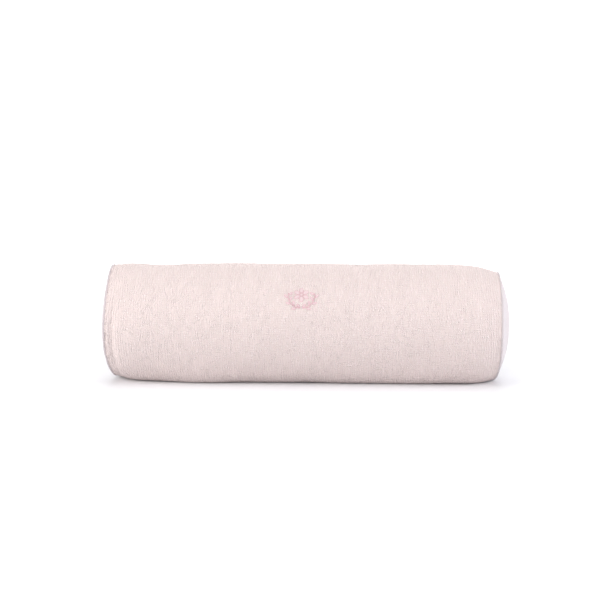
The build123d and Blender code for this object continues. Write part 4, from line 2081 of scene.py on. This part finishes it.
@dataclass
class Studio:
    """A pale floor, soft lights and the camera."""

    distance: float = 2.2
    lens: float = 86.5
    azimuth: float = math.radians(1.9)
    elevation: float = math.radians(9)
    aim: tuple[float, float, float] = (-0.0075, 0.0, 0.1205)
    lit_point: tuple[float, float, float] = (0.0, 0.0, 0.08)
    sky: float = 0.43  # strength of its light
    seen_sky: float = 1.1
    footprint: tuple[float, float, float] = (0.27, 0.03, 1.0)  # half the stretch that the pillow rests on
    # the floor's painted glow: how far from the footprint it starts and is full, and how strong it is
    painted_glow_start: float = 0.06  # from the footprint
    painted_glow_full: float = 1.6
    painted_glow_strength: float = 0.8
    floor_reach: float = 30000.0
    floor_drop: float = 0.1  # under the pillow, so that the two do not touch
    floor_colour: str = "#F1F2F4"

    def softbox(self, name: str, place: tuple, size: float, power: float, colour: str) -> None:
        """Adds a square soft light that faces the pillow.

        Args:
            name: the light's name.
            place: where it hangs, in metres.
            size: its width, in metres.
            power: in watts.
            colour: of its light.
        """
        lamp = bpy.data.lights.new(name, "AREA")
        lamp.size = size
        lamp.energy = power
        lamp.color = linear_colour(colour)[:3]
        light = place_in_scene(name, lamp)
        light.location = place
        light.rotation_euler = direction_to_turn(np.array(self.lit_point) - np.array(place))

    def floor(self) -> None:
        """The pale floor, large enough to fill every view, with a painted glow that lifts it to white away
        from the pillow.
        """
        corners = np.array([[-1, -1, 0], [1, -1, 0], [1, 1, 0], [-1, 1, 0]]) * self.floor_reach
        corners = corners - [0, 0, self.floor_drop]
        ground = make_object("studio_floor", corners, [[0, 1, 2, 3]])
        material, tree = empty_material("matt_white_floor_painted_glow")
        inputs = {
            "Base Color": linear_colour(self.floor_colour),
            "Roughness": 0.9,
            "Specular IOR Level": 0.1,
            # painted glow: the floor glows, more the further it lies from the pillow
            "Emission Strength": self.lift(tree),
        }
        shader = add_node(tree, "ShaderNodeBsdfPrincipled", inputs)
        add_node(tree, "ShaderNodeOutputMaterial", {"Surface": shader})
        ground.data.materials.append(material)

    def lift(self, tree: Tree) -> Node:
        """A painted glow: how much whiter the floor looks than its light makes it, with nothing where the
        pillow rests.

        Args:
            tree: the floor's tree.

        Returns:
            A node that gives the painted glow's strength, seen only straight from the camera.
        """
        place = add_node(tree, "ShaderNodeTexCoord").outputs["Object"]
        size = add_node(tree, VECTOR_MATH, (place,), operation="ABSOLUTE")
        off = add_node(tree, VECTOR_MATH, (size, self.footprint), operation="SUBTRACT")
        outside = add_node(tree, VECTOR_MATH, (off, (0.0, 0.0, 0.0)), operation="MAXIMUM")
        inputs = {
            "Value": add_node(tree, VECTOR_MATH, (outside,), operation="LENGTH"),
            "From Min": self.painted_glow_start,
            "From Max": self.painted_glow_full,
            "To Max": self.painted_glow_strength,
        }
        grown = add_node(tree, "ShaderNodeMapRange", inputs)
        seen = add_node(tree, "ShaderNodeLightPath").outputs["Is Camera Ray"]
        return add_node(tree, MATH, (grown, seen), operation="MULTIPLY")

    def world(self) -> None:
        """An even white sky, brighter to the camera than its light on the pillow."""
        world = bpy.data.worlds.new("studio")
        bpy.context.scene.world = world
        world.use_nodes = True
        tree = world.node_tree
        tree.nodes.clear()
        seen = add_node(tree, "ShaderNodeLightPath").outputs["Is Camera Ray"]
        inputs = {"Value": seen, "To Min": self.sky, "To Max": self.seen_sky}
        strength = add_node(tree, "ShaderNodeMapRange", inputs)
        sky = add_node(tree, "ShaderNodeBackground", {"Color": (1.0, 1.0, 1.0, 1.0), "Strength": strength})
        add_node(tree, "ShaderNodeOutputWorld", {"Surface": sky})

    def camera(self) -> None:
        """The camera, a little above the pillow and a little to its right."""
        lens = bpy.data.cameras.new("camera")
        lens.lens = self.lens
        lens.sensor_width = 36.0
        lens.clip_end = 100.0
        eye = place_in_scene("camera", lens)
        level = math.cos(self.elevation)
        sideways, forward = math.sin(self.azimuth) * level, -math.cos(self.azimuth) * level
        back = np.array([sideways, forward, math.sin(self.elevation)])
        eye.location = np.array(self.aim) + back * self.distance
        eye.rotation_euler = direction_to_turn(-back)
        bpy.context.scene.camera = eye

    def build(self) -> None:
        """Sets up the floor, the lights, the sky and the camera."""
        self.camera()
        self.floor()
        self.world()
        self.softbox("left_light", (-1.95, -0.95, 0.85), 1.2, 36.0, "#FFFEFD")
        self.softbox("right_light", (2.0, -0.8, 0.95), 1.2, 31.5, "#FBFBFF")
        self.softbox("top_light", (0.0, -0.3, 2.2), 1.6, 13.0, "#FFFFFF")
        self.softbox("back_light", (0.0, 2.2, 1.3), 1.8, 28.0, "#FFFFFF")
        bpy.context.scene.view_settings.view_transform = "Standard"


def direction_to_turn(direction: Array) -> tuple[float, float, float]:
    """The Euler turn that points an object's -Z along a direction with its Y upwards."""
    x, y, z = unit(np.asarray(direction, float))
    return (math.acos(max(-1.0, min(1.0, -z))), 0.0, math.atan2(y, x) - math.pi / 2)


# ---------------- main


def main() -> None:
    """Builds the studio and the pillow."""
    logging.basicConfig(level=logging.INFO, format="%(message)s")
    Studio().build()
    shape = RollShape()
    swell = Swell(shape)
    swell.run()
    shape.swell = swell
    foam = Fluff("open_cell_foam", "#F3ECD9", shade="#D9CFB4", tuft=1.6, depth=0.5, cells=True).material()
    wadding = Fluff("polyester_wadding", "#F7F6F3").material()
    Filling(shape).build(foam, wadding)
    InnerCase(shape).build(PlainWeave("unbleached_calico", "#EFE6D6", shade="#D6C9B2").material())
    cotton = WaffleCotton("waffle_cotton", "#EFE3E1").material()
    # painted light: the ends are the same cotton, recoloured greyer, lilac and darker to stand in for how the
    # side lights fall on them, with painted shade in their hollows too
    end_cotton = WaffleCotton("waffle_cotton_ends_painted_light", "#DBD5D7", shade="#CEC6C9", depth=0.5).material()
    cord = PlainWeave("twisted_cotton_cord", "#EFE9DF", shade="#CFC6B8").material()
    piping = PlainWeave("piping_cloth", "#D8CED0", shade="#C2B8BA").material()
    Cover(shape).build(cotton, end_cotton, cord, piping)
    stitches = StitchTree()
    sewing = Thread("sewing_thread", "#F0DEDD", shade="#D9C0C0").material()
    nylon = Moulded("nylon_coil", "#F0E4E3").material()
    tape = TwillTape("zip_tape_twill", "#E6D2D2").material()
    metal = BrushedAluminium("pressed_aluminium", "#D2D2D4").material()
    enamel = StoveEnamel("blush_stove_enamel", "#E2BFC1").material()
    ZipFastener(shape, stitches).build(tape, nylon, metal, enamel, sewing)
    pale = Thread("pale_rose_rayon", "#F0DDDE", shade="#E9D2D5", roughness=0.34).material()
    rose = Thread("rose_rayon", "#EABDC7", shade="#E1AEBA", roughness=0.34).material()
    felt = Fluff("backing_felt", "#EFEAE8", tuft=1.2, depth=0.3).material()
    Embroidery(shape, stitches).build(pale, rose, felt)
    CareLabel(shape).build(WovenSatin("woven_satin", "#FBF4F2").material())


if __name__ == "__main__":
    main()
